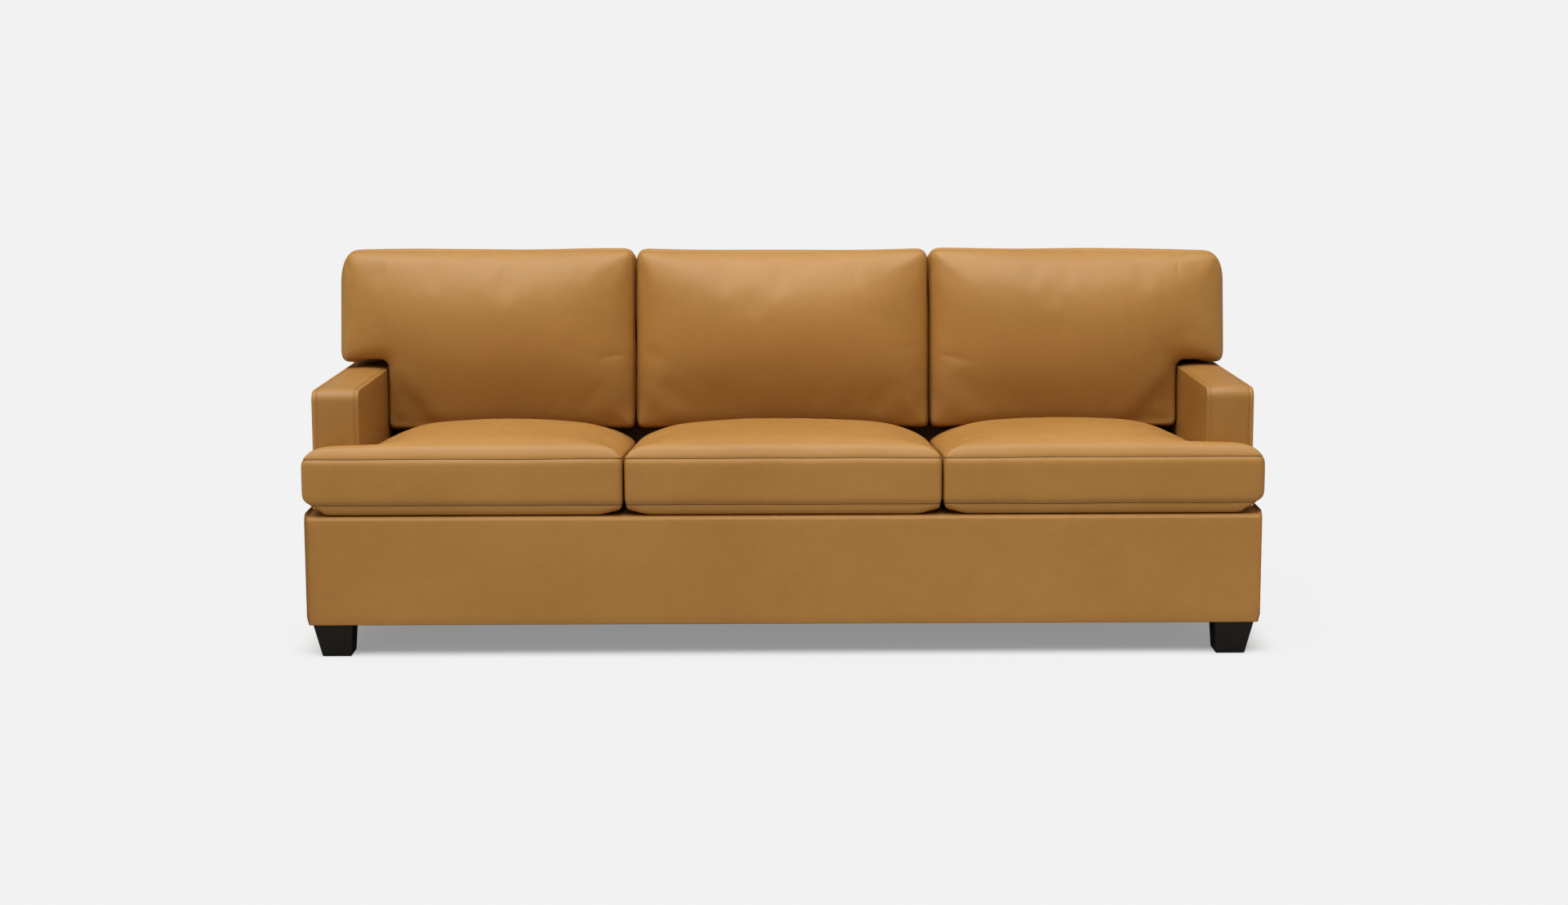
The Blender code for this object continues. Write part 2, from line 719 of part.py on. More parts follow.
def back_pad(name, place, inset, material_name):
    """Built lying on its rear face, then stood up along the slope of the back."""
    plan = back_plan(place, inset)

    def front(x, v):
        crown = BACK_CROWN * swell(plan.edge_distance(x, v), CROWN_REACH)
        on_wing_foot = plan.corner and v == plan.corner[3] and (x - plan.corner[2]) * place >= 0
        drop = BACK_THICKNESS * math.tan(LEAN) if on_wing_foot else 0  # level with the arm's top
        return x, v - drop, BACK_THICKNESS - inset + crown

    def rear(x, v):
        return x, v, inset

    obj = pad(name, plan, front, rear, material_name)
    obj.location = (0, back_face(BACK_REAR_FOOT) - CUSHION_GAP, BACK_REAR_FOOT)
    obj.rotation_euler = (math.pi / 2 - LEAN, 0, 0)
    return obj


def make_cushion(kind, make_pad, place, word, slot_low, slot_high):
    """A leather case, open along its zip, and the foam core that fills it."""
    cover = make_pad(f"{kind}_cover_{word}", place, 0.0, "leather")
    hollow = make_pad(f"{kind}_hollow_{word}", place, LEATHER, "leather")
    make_pad(f"{kind}_core_{word}", place, LEATHER + CORE_CLEARANCE, "foam")
    boolean(cover, hollow)
    middle = place * MODULE
    slot = box(
        f"{kind}_slot_{word}",
        (middle - ZIP_LENGTH / 2, *slot_low),
        (middle + ZIP_LENGTH / 2, *slot_high),
        "leather",
    )
    slot.location = cover.location
    slot.rotation_euler = cover.rotation_euler
    boolean(cover, slot)


def make_cushions():
    seat_middle = (SEAT_LOWER_SEAM + SEAT_REAR_SEAM) / 2
    seat_slot = (
        (SEAT_REAR - 1.2 * LEATHER, seat_middle - ZIP_WIDTH / 2),
        (SEAT_REAR + 0.01, seat_middle + ZIP_WIDTH / 2),
    )
    back_middle = BACK_THICKNESS / 2
    back_slot = (
        (-0.01, back_middle - ZIP_WIDTH / 2),
        (1.2 * LEATHER, back_middle + ZIP_WIDTH / 2),
    )
    for place, word in ((-1, "left"), (0, "centre"), (1, "right")):
        make_cushion("seat", seat_pad, place, word, *seat_slot)
        make_cushion("back", back_pad, place, word, *back_slot)


def main():
    clear_scene()
    make_base_frame()
    make_back_frame()
    for side, word in SIDES:
        make_arm_frame(side, word)
        make_side_panel(side, word)
        make_arm_cover(side, word)
        for end, place in ((-1, "front"), (1, "rear")):
            make_leg(side, end, f"{place}_{word}")
    make_clip_strips()
    make_springs()
    make_apron()
    make_back_upholstery()
    make_deck_and_dust_cover()
    make_cushions()


main()
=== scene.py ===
"""Looks of the three-seat leather sofa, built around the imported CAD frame.

Metres, +Z up, front at -Y. Left and right are as seen from the front.
"""

import json
import math

import bmesh
import bpy
import numpy as np
from mathutils import Matrix, Vector, noise


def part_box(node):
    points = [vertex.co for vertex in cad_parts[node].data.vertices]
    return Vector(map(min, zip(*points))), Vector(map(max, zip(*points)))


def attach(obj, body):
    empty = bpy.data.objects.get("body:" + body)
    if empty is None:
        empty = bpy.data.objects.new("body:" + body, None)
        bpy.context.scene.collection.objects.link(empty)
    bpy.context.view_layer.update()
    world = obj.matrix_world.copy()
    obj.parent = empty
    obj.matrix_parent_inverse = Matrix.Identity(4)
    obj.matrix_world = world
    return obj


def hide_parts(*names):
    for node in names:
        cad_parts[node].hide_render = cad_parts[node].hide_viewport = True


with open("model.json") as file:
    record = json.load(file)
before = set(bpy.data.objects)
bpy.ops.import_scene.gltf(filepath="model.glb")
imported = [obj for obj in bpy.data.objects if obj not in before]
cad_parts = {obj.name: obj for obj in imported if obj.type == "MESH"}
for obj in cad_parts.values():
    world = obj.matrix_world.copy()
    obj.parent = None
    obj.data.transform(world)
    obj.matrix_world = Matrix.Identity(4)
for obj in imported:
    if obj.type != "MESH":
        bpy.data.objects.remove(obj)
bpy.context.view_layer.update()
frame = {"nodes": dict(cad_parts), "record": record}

# Places read from the frame
CUSHIONS = ((-1, "left"), (0, "centre"), (1, "right"))
SIDES = ((-1, "left"), (1, "right"))
APRON_LOW, APRON_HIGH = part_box("apron_cover")
ARM_LOW, ARM_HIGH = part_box("arm_cover_right")
SIDE_LOW, SIDE_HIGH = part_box("side_panel_right")
BACK_LOW, BACK_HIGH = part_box("inside_back_cover")
REAR_LOW, REAR_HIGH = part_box("outside_back_panel")
DECK_LOW, DECK_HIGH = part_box("deck_pad")
ARM_FRONT = ARM_LOW.y
ARM_TOP = ARM_HIGH.z
ARM_INSIDE = ARM_LOW.x
HALF_WIDTH = SIDE_HIGH.x

# Leather over the frame
ARM_CORNER = 0.026  # radius of the arm's front top edge
ARM_SEAM_IN = 0.0065  # of an arm's outer seam from its outer face
ARM_CROWN = 0.0035
ARM_FALL = 0.009  # of an arm's top, front to rear
APRON_ROLL = 0.011
APRON_END = 0.010
PANEL_ROLL = 0.0065
PANEL_BULGE = 0.003
LIP = 0.006  # depth to which two leather edges turn in at a seam
SEAM_GAP = 0.0012

# Cushions
EDGE_STEPS = (0.0015, 0.005, 0.010, 0.017, 0.027, 0.040)  # grid lines that crowd towards a seam
SEAM_DEPTH = 0.0015  # by which a seam is drawn in
CELL = 0.014  # grid spacing away from the seams
SEAT_PITCH_DROP = 0.066  # of the upper seam, front to rear
SEAT_CROWN = 0.053
SEAT_SEAMS = (0.355, 0.462)  # heights at the front
SEAT_SIDE_ROLL = 0.130
SEAT_LAP = 0.0038  # by which the front of a seat cushion sinks over the apron
SEAT_FLOOR_ROLLS = (0.045, 0.016)  # reach of the underside's roll at its ends and its front
SEAT_CORNER_DRAW = 0.021  # of the lower front corners, below SEAT_DRAW_TOP
SEAT_DRAW_TOP = 0.374
SEAT_FRONT_ROLL = 0.0145  # reach of the top's roll at its front
BACK_SEAMS = (0.020, 0.158)  # distances of the two seams from the back cushion's rear face
BACK_CROWN = 0.084
BACK_SINK = 0.014  # by which the back cushions press into the seats
WING_DROP = 0.007  # by which the right one hangs lower
WING_FOOT = 0.6205  # height of a back cushion's front seam over the arm
CLOTH_SHARE = 0.6  # of the simulated movement that is kept, after its cap
CLOTH_FRAMES = 20
CLOTH_PRESSURE = 2.0
CLOTH_SPARE = 0.006  # share by which the cloth is cut larger
STITCH_PITCH = 0.0062
STITCH_LENGTH = 0.0042
STITCH_RADIUS = 0.00048
ZIP_LENGTH = 0.5
TOOTH_PITCH = 0.0022
SEAT_ZIP_HEIGHT = 0.388
BACK_ZIP_FORWARD = 0.058  # of the rear of a back cushion


# Materials


def feed(tree, socket, value):
    """Links value to the socket, or sets the socket to it."""
    if isinstance(value, bpy.types.NodeSocket):
        tree.links.new(value, socket)
    else:
        socket.default_value = value


def add_node(tree, kind, settings=None, **inputs):
    made = tree.nodes.new(kind)
    for name, value in (settings or {}).items():
        setattr(made, name, value)
    for name, value in inputs.items():
        feed(tree, made.inputs[name.replace("_", " ")], value)
    return made


def compute(tree, operation, *values, kind="ShaderNodeMath"):
    made = add_node(tree, kind, {"operation": operation})
    for socket, value in zip(made.inputs, values):
        feed(tree, socket, value)
    return made.outputs[0]


def map_range(tree, value, low, high, to_low=0.0, to_high=1.0, way="LINEAR"):
    made = add_node(tree, "ShaderNodeMapRange", {"interpolation_type": way}, Value=value)
    names = ("From Min", "From Max", "To Min", "To Max")
    for name, number in zip(names, (low, high, to_low, to_high)):
        made.inputs[name].default_value = number
    return made.outputs["Result"]


def new_material(name, roughness=0.5, metallic=0.0, specular=0.5):
    made = bpy.data.materials.new(name)
    made.use_nodes = True
    shader = made.node_tree.nodes["Principled BSDF"]
    shader.inputs["Roughness"].default_value = roughness
    shader.inputs["Metallic"].default_value = metallic
    shader.inputs["Specular IOR Level"].default_value = specular
    return made, made.node_tree, shader


def object_coords(tree, scale=(1, 1, 1)):
    coords = add_node(tree, "ShaderNodeTexCoord").outputs["Object"]
    if scale == (1, 1, 1):
        return coords
    return add_node(tree, "ShaderNodeMapping", Vector=coords, Scale=scale).outputs["Vector"]


def noise_value(tree, coords, scale, detail=2.0, low=0.0, high=1.0):
    """Noise stretched from its usual middle range to low..high."""
    made = add_node(tree, "ShaderNodeTexNoise", Vector=coords, Scale=scale, Detail=detail)
    return map_range(tree, made.outputs["Fac"], 0.3, 0.7, low, high)


def mix_colours(tree, factor, first, second, blend="MIX"):
    made = add_node(tree, "ShaderNodeMix", {"data_type": "RGBA", "blend_type": blend})
    for name, value in (("Factor", factor), ("A", first), ("B", second)):
        feed(tree, [s for s in made.inputs if s.name == name and s.enabled][0], value)
    return [s for s in made.outputs if s.enabled][0]


def bump(tree, height, strength, distance, under=None):
    made = add_node(tree, "ShaderNodeBump", Height=height, Strength=strength, Distance=distance)
    if under:
        tree.links.new(under, made.inputs["Normal"])
    return made.outputs["Normal"]


def leather_material(name, light, dark, foot=None):
    """Smooth corrected-grain leather: fine pebble, cloudy tone, a soft finish that varies a little.

    foot = (low, high, share) darkens it by share from high down to low along the object's own Y:
    painted shade.
    """
    made, tree, shader = new_material(name, specular=0.38)
    coords = object_coords(tree)
    cloud = noise_value(tree, coords, 2.4, 3.0)
    mottle = noise_value(tree, coords, 38.0, 4.0)
    warped = add_node(tree, "ShaderNodeTexNoise", Vector=coords, Scale=160.0, Detail=2.0)
    small = (0.0022, 0.0022, 0.0022)
    jitter = compute(
        tree, "MULTIPLY_ADD", warped.outputs["Color"], small, coords, kind="ShaderNodeVectorMath"
    )
    pebble = add_node(
        tree, "ShaderNodeTexVoronoi", {"feature": "DISTANCE_TO_EDGE"}, Vector=jitter, Scale=560.0
    )
    crease = map_range(tree, pebble.outputs["Distance"], 0.0, 0.12)
    tone = mix_colours(tree, cloud, dark, light)
    shade = noise_value(tree, coords, 38.0, 4.0, 0.90, 1.0)
    tone = mix_colours(tree, 0.55, tone, shade, "MULTIPLY")
    in_crease = mix_colours(tree, 0.22, tone, (0.12, 0.045, 0.012, 1))
    colour = mix_colours(tree, crease, in_crease, tone)
    # Painted shade: the colour darkens towards the foot (low Y), where shade falls on a back
    # cushion.
    if foot:
        low, high, share = foot
        height = add_node(tree, "ShaderNodeSeparateXYZ", Vector=coords).outputs["Y"]
        depth = map_range(tree, height, low, high, share, 0.0, "SMOOTHSTEP")
        colour = mix_colours(tree, depth, colour, (0.12, 0.045, 0.006, 1))
    tree.links.new(colour, shader.inputs["Base Color"])
    rough = noise_value(tree, coords, 38.0, 3.0, 0.40, 0.50)
    tree.links.new(rough, shader.inputs["Roughness"])
    soft = bump(tree, noise_value(tree, coords, 11.0, 2.0), 0.16, 0.004)
    pull = bump(tree, mottle, 0.10, 0.0006, soft)
    grain = bump(tree, crease, 0.16, 0.00022, pull)
    tree.links.new(grain, shader.inputs["Normal"])
    return made


def wood_material(name, light, dark, roughness, along, strength):
    """Straight-grained wood with its grain along one axis of the object."""
    made, tree, shader = new_material(name, roughness, specular=0.32)
    scale = [70.0, 70.0, 70.0]
    scale["XYZ".index(along)] = 4.0
    coords = object_coords(tree, tuple(scale))
    rings = noise_value(tree, coords, 1.0, 5.0)
    pores = noise_value(tree, coords, 6.0, 3.0)
    streaks = mix_colours(tree, rings, dark, light)
    colour = mix_colours(tree, 0.25, streaks, pores, "MULTIPLY")
    tree.links.new(colour, shader.inputs["Base Color"])
    tree.links.new(bump(tree, pores, strength, 0.0004), shader.inputs["Normal"])
    return made


def fibre_material(name, light, dark, scale, roughness=0.9):
    """Felt, foam, board and non-woven cloth: short matted fibres."""
    made, tree, shader = new_material(name, roughness)
    coords = object_coords(tree)
    fibres = noise_value(tree, object_coords(tree, (scale, scale * 3, scale)), 1.0, 6.0)
    blotch = noise_value(tree, coords, 14.0, 3.0)
    colour = mix_colours(tree, fibres, dark, light)
    colour = mix_colours(tree, 0.2, colour, blotch, "MULTIPLY")
    tree.links.new(colour, shader.inputs["Base Color"])
    tree.links.new(bump(tree, fibres, 0.5, 0.0006), shader.inputs["Normal"])
    return made


def metal_material(name, colour, roughness):
    made, tree, shader = new_material(name, roughness, 1.0)
    coords = object_coords(tree)
    shade = noise_value(tree, coords, 220.0, 3.0, 0.8, 1.0)
    tree.links.new(mix_colours(tree, 1.0, colour, shade, "MULTIPLY"), shader.inputs["Base Color"])
    tree.links.new(
        noise_value(tree, coords, 90.0, 3.0, roughness - 0.06, roughness + 0.10),
        shader.inputs["Roughness"],
    )
    return made


CARAMEL = ((0.520, 0.256, 0.064, 1), (0.455, 0.216, 0.048, 1))
LEATHER = leather_material("caramel_leather", *CARAMEL)
# Painted shade: the back cushions' leather darkens towards their foot.
BACK_LEATHER_PAINTED_SHADE = leather_material("back_leather", *CARAMEL, foot=(0.05, 0.21, 0.33))
# Painted shade: a darker copy of the caramel leather, standing in for the shade on the arms.
ARM_LEATHER_PAINTED_SHADE = leather_material("arm_leather_painted_shade", (0.455, 0.224, 0.055, 1), (0.400, 0.190, 0.041, 1))
THREAD = fibre_material("thread", (0.36, 0.17, 0.05, 1), (0.24, 0.10, 0.028, 1), 900.0, 0.6)
# Partly real seam thread, partly painted shade: darker than the stitching so that the seam grooves
# read dark.
SEAM_THREAD_AND_SHADE = fibre_material(
    "seam_thread_and_shade", (0.17, 0.080, 0.022, 1), (0.10, 0.044, 0.012, 1), 900.0, 0.7
)
ZINC = metal_material("zinc_steel", (0.66, 0.66, 0.63, 1), 0.32)
FELT = fibre_material("deck_felt", (0.13, 0.125, 0.12, 1), (0.06, 0.056, 0.052, 1), 240.0)
ZIP_TAPE = fibre_material(
    "zip_tape", (0.10, 0.055, 0.025, 1), (0.05, 0.028, 0.014, 1), 700.0, 0.75
)
SLOT_MATERIALS = {
    "leather": LEATHER,
    "black_wood": wood_material(
        "black_wood", (0.0075, 0.0068, 0.0062, 1), (0.0030, 0.0028, 0.0026, 1), 0.36, "Z", 0.12
    ),
    "frame_wood": wood_material(
        "frame_wood", (0.62, 0.42, 0.23, 1), (0.40, 0.25, 0.12, 1), 0.7, "X", 0.35
    ),
    "fibreboard": fibre_material("fibreboard", (0.36, 0.24, 0.14, 1), (0.24, 0.15, 0.08, 1), 160.0),
    "spring_steel": metal_material("spring_steel", (0.42, 0.42, 0.44, 1), 0.34),
    "zinc_steel": ZINC,
    "deck_felt": FELT,
    "dust_cloth": fibre_material(
        "dust_cloth", (0.022, 0.022, 0.024, 1), (0.010, 0.010, 0.011, 1), 300.0
    ),
    "foam": fibre_material("foam", (0.82, 0.76, 0.55, 1), (0.70, 0.62, 0.42, 1), 420.0),
}


def dress_cad_nodes():
    for entry in frame["record"]["subparts"]:
        node = frame["nodes"][entry["node"]]
        node.data.materials.clear()
        node.data.materials.append(SLOT_MATERIALS[entry["material_slot"]])


# Meshes


def new_object(name, data):
    made = bpy.data.objects.new(name, data)
    bpy.context.scene.collection.objects.link(made)
    return made


def dressed(name, mesh, material):
    mesh.shade_smooth()
    mesh.materials.append(material)
    return new_object(name, mesh)


def mesh_object(name, points, faces, material):
    mesh = bpy.data.meshes.new(name)
    mesh.from_pydata([tuple(map(float, p)) for p in points], [], faces)
    mesh.update()
    return dressed(name, mesh, material)


def skin(base, rings, count, closed=False):
    """Faces of a tube of rings of count points each from index base on, capped unless closed."""
    faces = []
    for i in range(rings if closed else rings - 1):
        low, high = base + i * count, base + (i + 1) % rings * count
        for j in range(count):
            k = (j + 1) % count
            faces.append((low + j, low + k, high + k, high + j))
    if not closed:
        faces.append(tuple(base + j for j in reversed(range(count))))
        faces.append(tuple(base + (rings - 1) * count + j for j in range(count)))
    return faces


def face_outwards(obj):
    bm = bmesh.new()
    bm.from_mesh(obj.data)
    bmesh.ops.recalc_face_normals(bm, faces=bm.faces)
    if bm.calc_volume(signed=True) < 0:
        bmesh.ops.reverse_faces(bm, faces=bm.faces)
    bm.to_mesh(obj.data)
    bm.free()


def back_slope():
    """How far the back's front leans to the rear for each metre it rises, from the frame."""
    points = [v.co for v in frame["nodes"]["back_upright_inner_left"].data.vertices]
    low, high = min(p.z for p in points), max(p.z for p in points)
    foot = min(p.y for p in points if p.z < low + 0.001)
    top = min(p.y for p in points if p.z > high - 0.001)
    return (top - foot) / (high - low)


SLOPE = back_slope()
LEAN = math.atan(SLOPE)


def back_face(z):
    """y of the leather on the back's sloping front at height z."""
    return BACK_LOW.y + (z - BACK_LOW.z) * SLOPE


def arc(centre, radius, start, end, steps):
    """Points of a circular arc in a plane, with angles in degrees."""
    angles = [math.radians(start + (end - start) * i / steps) for i in range(steps + 1)]
    return [(centre[0] + radius * math.cos(a), centre[1] + radius * math.sin(a)) for a in angles]


def rounded_outline(x0, x1, y0, y1, radius, steps):
    """A rectangle with rounded corners, anticlockwise."""
    outline = []
    for i, (x, y) in enumerate(((x1, y0), (x1, y1), (x0, y1), (x0, y0))):
        centre = (x - radius if x == x1 else x + radius, y - radius if y == y1 else y + radius)
        outline += arc(centre, radius, 90 * (i - 1), 90 * i, steps)
    return outline


def spaced(points, step):
    """The polyline with extra points, so that none of its parts is longer than step."""
    found = [points[0]]
    for a, b in zip(points, points[1:]):
        count = max(1, math.ceil(math.dist(a, b) / step))
        for i in range(1, count + 1):
            found.append(tuple(np.array(a) + (np.array(b) - np.array(a)) * i / count))
    return found


def polyline_normals(points, closed):
    """Normals to the right of a polyline, longer at corners so that an offset stays parallel."""
    points = np.array(points, float)
    before = np.roll(points, 1, 0) if closed else np.vstack([points[:1], points[:-1]])
    after = np.roll(points, -1, 0) if closed else np.vstack([points[1:], points[-1:]])

    def side(vectors):
        lengths = np.linalg.norm(vectors, axis=1, keepdims=True)
        unit = vectors / np.maximum(lengths, 1e-9)
        return np.column_stack([unit[:, 1], -unit[:, 0]]), lengths[:, 0] > 1e-9

    first, has_first = side(points - before)
    second, has_second = side(after - points)
    first[~has_first] = second[~has_first]
    second[~has_second] = first[~has_second]
    total = first + second
    total /= np.linalg.norm(total, axis=1, keepdims=True)
    return total / np.maximum((total * first).sum(1, keepdims=True), 0.5)


def soft_noise(point, size, seed):
    """Smooth noise, about -1 to 1, whose waves are about size long."""
    return noise.noise(Vector(point) / size + Vector((seed * 17.3, seed * 5.1, seed * 9.7)))


def finish_piece(obj, body, slot, *replaced, padded=None):
    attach(obj, body)
    if replaced:
        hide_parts(*replaced)
    return obj


# Seam cords, whose dark colour is painted shade, and stitches


def seam_cords(name, lines, radius, body, closed=True):
    """Cords lying in the bottom of seams, one run along each line of 3-D points: the seam's thread,
    made dark as painted shade of the groove.
    """
    sides = 6
    verts, faces = [], []
    for line in lines:
        line = np.array(line, float)
        along = np.roll(line, -1, 0) - np.roll(line, 1, 0) if closed else np.gradient(line, axis=0)
        along /= np.linalg.norm(along, axis=1, keepdims=True)
        out = line - line.mean(0)
        out -= (out * along).sum(1, keepdims=True) * along
        out /= np.maximum(np.linalg.norm(out, axis=1, keepdims=True), 1e-9)
        across = np.cross(along, out)
        base, count = len(verts), len(line)
        angles = [2 * math.pi * side / sides for side in range(sides)]
        for k in range(count):
            spokes = [math.cos(a) * out[k] + math.sin(a) * across[k] for a in angles]
            verts += [line[k] + radius * spoke for spoke in spokes]
        faces += skin(base, count, sides, closed)
    cords = mesh_object(name, verts, faces, SEAM_THREAD_AND_SHADE)
    face_outwards(cords)
    return finish_piece(cords, body, "leather")


def stitches(name, runs, body):
    """A row of thread stitches along each run; a run is (points, normals, closed)."""
    ring, rise = 6, (-0.5, -0.3, 0.3, 0.5)
    swell = (0.35, 1.0, 1.0, 0.35)
    verts, faces = [], []
    for points, normals, closed in runs:
        points, normals = np.array(points, float), np.array(normals, float)
        if closed:
            points = np.vstack([points, points[:1]])
            normals = np.vstack([normals, normals[:1]])
        lengths = np.linalg.norm(np.diff(points, axis=0), axis=1)
        travel = np.concatenate([[0], np.cumsum(lengths)])
        for start in np.arange(STITCH_PITCH / 2, travel[-1], STITCH_PITCH):
            k = min(int(np.searchsorted(travel, start)) - 1, len(lengths) - 1)
            share = (start - travel[k]) / max(lengths[k], 1e-9)
            middle = points[k] + share * (points[k + 1] - points[k])
            up = normals[k] + share * (normals[k + 1] - normals[k])
            way = (points[k + 1] - points[k]) / max(lengths[k], 1e-9)
            up -= up.dot(way) * way
            up /= max(np.linalg.norm(up), 1e-9)
            side = np.cross(way, up)
            base = len(verts)
            for place, width in zip(rise, swell):
                sink = -0.0003 * (abs(place) * 2) ** 4
                for i in range(ring):
                    angle = 2 * math.pi * i / ring
                    spread = math.cos(angle) * side + math.sin(angle) * up
                    lift = up * (STITCH_RADIUS * 0.6 + sink)
                    centre = middle + way * place * STITCH_LENGTH + lift
                    verts.append(centre + spread * STITCH_RADIUS * width)
            faces += skin(base, len(rise), ring)
    obj = mesh_object(name, verts, faces, THREAD)
    return finish_piece(obj, body, "leather")


# Cushions


def graded(low, high):
    """Grid lines from low to high that crowd towards both ends."""
    inner_low, inner_high = low + EDGE_STEPS[-1], high - EDGE_STEPS[-1]
    count = max(1, round((inner_high - inner_low) / CELL))
    middle = np.linspace(inner_low, inner_high, count + 1)
    ends = np.array((0.0, *EDGE_STEPS[:-1]))
    return np.concatenate([low + ends, middle, (high - ends)[::-1]])


class Pillow:
    """A boxed cushion over a rectangle or an L: x and v lie across it and w goes through it."""

    def __init__(self, x_range, v_range, notch, corner_radii, notch_radius):
        self.x_range, self.v_range = x_range, v_range
        self.notch = notch  # (x side, v side, x, v) of the missing corner, or None
        if notch:
            cut_x, cut_v = notch[2], notch[3]
            xs = [graded(*sorted(pair)) for pair in ((x_range[0], cut_x), (cut_x, x_range[1]))]
            vs = [graded(*sorted(pair)) for pair in ((v_range[0], cut_v), (cut_v, v_range[1]))]
            self.xs = np.concatenate([xs[0], xs[1][1:]])
            self.vs = np.concatenate([vs[0], vs[1][1:]])
        else:
            self.xs, self.vs = graded(*x_range), graded(*v_range)
        self.x, self.v = np.meshgrid(self.xs, self.vs, indexing="ij")
        self.px, self.pv = self.x.copy(), self.v.copy()
        self.loop = self.boundary()
        self.find_distances()
        self.find_membrane()
        for corner, sides in self.convex_corners():
            self.round_convex(corner, sides, *corner_radii(*sides))
        if notch:
            self.round_notch(notch_radius)

    def holds(self, x, v):
        if not self.notch:
            return np.ones(np.shape(x), bool)
        x_side, v_side, cut_x, cut_v = self.notch
        return ((x - cut_x) * x_side < 0) | ((v - cut_v) * v_side < 0)

    def cell(self, i, j):
        if not (0 <= i < len(self.xs) - 1 and 0 <= j < len(self.vs) - 1):
            return False
        x = (self.xs[i] + self.xs[i + 1]) / 2
        v = (self.vs[j] + self.vs[j + 1]) / 2
        return bool(self.holds(np.array(x), np.array(v)))

    def cells(self):
        found = []
        for i in range(len(self.xs) - 1):
            for j in range(len(self.vs) - 1):
                if self.cell(i, j):
                    found.append((i, j))
        return found

    def boundary(self):
        """The outline's grid points, anticlockwise."""
        follow = {}
        for i, j in self.cells():
            ring = [(i, j), (i + 1, j), (i + 1, j + 1), (i, j + 1)]
            beside = [(i, j - 1), (i + 1, j), (i, j + 1), (i - 1, j)]
            for start, end, other in zip(ring, ring[1:] + ring[:1], beside):
                if not self.cell(*other):
                    follow[start] = end
        first = min(follow)
        loop = [first]
        while follow[loop[-1]] != first:
            loop.append(follow[loop[-1]])
        return loop

    def corners(self):
        (x0, x1), (v0, v1) = self.x_range, self.v_range
        points = [(x0, v0), (x1, v0), (x1, v1), (x0, v1)]
        if self.notch:
            x_side, v_side, x, v = self.notch
            end_x = x1 if x_side > 0 else x0
            end_v = v1 if v_side > 0 else v0
            at = points.index((end_x, end_v))
            step = [(end_x, v), (x, v), (x, end_v)]
            if x_side != v_side:
                step.reverse()
            points[at : at + 1] = step
        return points

    def convex_corners(self):
        """Each outward corner with the sides (x sign, v sign) on which it lies."""
        points = self.corners()
        found = []
        for i, point in enumerate(points):
            if self.notch and point == self.notch[2:]:
                continue
            before, after = np.array(points[i - 1]), np.array(points[(i + 1) % len(points)])
            sides = np.sign(2 * np.array(point) - before - after)
            found.append((point, tuple(sides)))
        return found

    def find_distances(self):
        """Soft distance of each grid point to the outline, without a hard ridge at the corners."""
        points = self.corners()
        total = np.zeros_like(self.x)
        from_front = np.zeros_like(self.x)
        for (ax, av), (bx, bv) in zip(points, points[1:] + points[:1]):
            dx, dv = bx - ax, bv - av
            share = ((self.x - ax) * dx + (self.v - av) * dv) / (dx * dx + dv * dv)
            share = np.clip(share, 0, 1)
            gap = np.hypot(self.x - ax - share * dx, self.v - av - share * dv)
            total += np.maximum(gap, 1e-6) ** -5.0
            if av == bv == self.v_range[0]:
                from_front += np.maximum(gap, 1e-6) ** -5.0
        self.front_share = from_front / total
        self.distance = total ** (-1 / 5.0)
        self.distance[self.distance < 2e-6] = 0

    def find_membrane(self):
        """Height of a film blown up over the outline, 0 at its edge and 1 at its highest."""
        step = 0.008
        nx = int(np.ptp(self.x_range) / step) + 1
        nv = int(np.ptp(self.v_range) / step) + 1
        gx, gv = np.linspace(*self.x_range, nx), np.linspace(*self.v_range, nv)
        cx, cv = np.meshgrid(gx, gv, indexing="ij")
        inside = self.holds(cx, cv)
        inside[[0, -1], :] = False
        inside[:, [0, -1]] = False
        parity = np.add.outer(np.arange(nx), np.arange(nv)) % 2
        height = np.zeros((nx, nv))
        for _ in range(260):
            for colour in (0, 1):
                around = np.zeros_like(height)
                around[1:-1, 1:-1] = (
                    height[2:, 1:-1] + height[:-2, 1:-1] + height[1:-1, 2:] + height[1:-1, :-2]
                ) / 4
                target = height + 1.9 * (around + 1 - height)
                height = np.where(inside & (parity == colour), target, height)
        height /= height.max()
        fx = np.clip((self.x - gx[0]) / (gx[1] - gx[0]), 0, nx - 1.001)
        fv = np.clip((self.v - gv[0]) / (gv[1] - gv[0]), 0, nv - 1.001)
        i, j = fx.astype(int), fv.astype(int)
        a, b = fx - i, fv - j
        self.membrane = (
            height[i, j] * (1 - a) * (1 - b)
            + height[i + 1, j] * a * (1 - b)
            + height[i, j + 1] * (1 - a) * b
            + height[i + 1, j + 1] * a * b
        )

    def round_convex(self, corner, sides, across, along):
        """Turns a square corner of the grid into a quarter of an ellipse."""
        a = (self.x - corner[0]) * sides[0] / across + 1
        b = (self.v - corner[1]) * sides[1] / along + 1
        near = (a > 0) & (b > 0) & (a <= 1.001) & (b <= 1.001)
        scale = np.where(near, np.maximum(a, b) / np.maximum(np.hypot(a, b), 1e-9), 1.0)
        x = corner[0] + sides[0] * across * (a * scale - 1)
        v = corner[1] + sides[1] * along * (b * scale - 1)
        self.px = np.where(near, x, self.px)
        self.pv = np.where(near, v, self.pv)

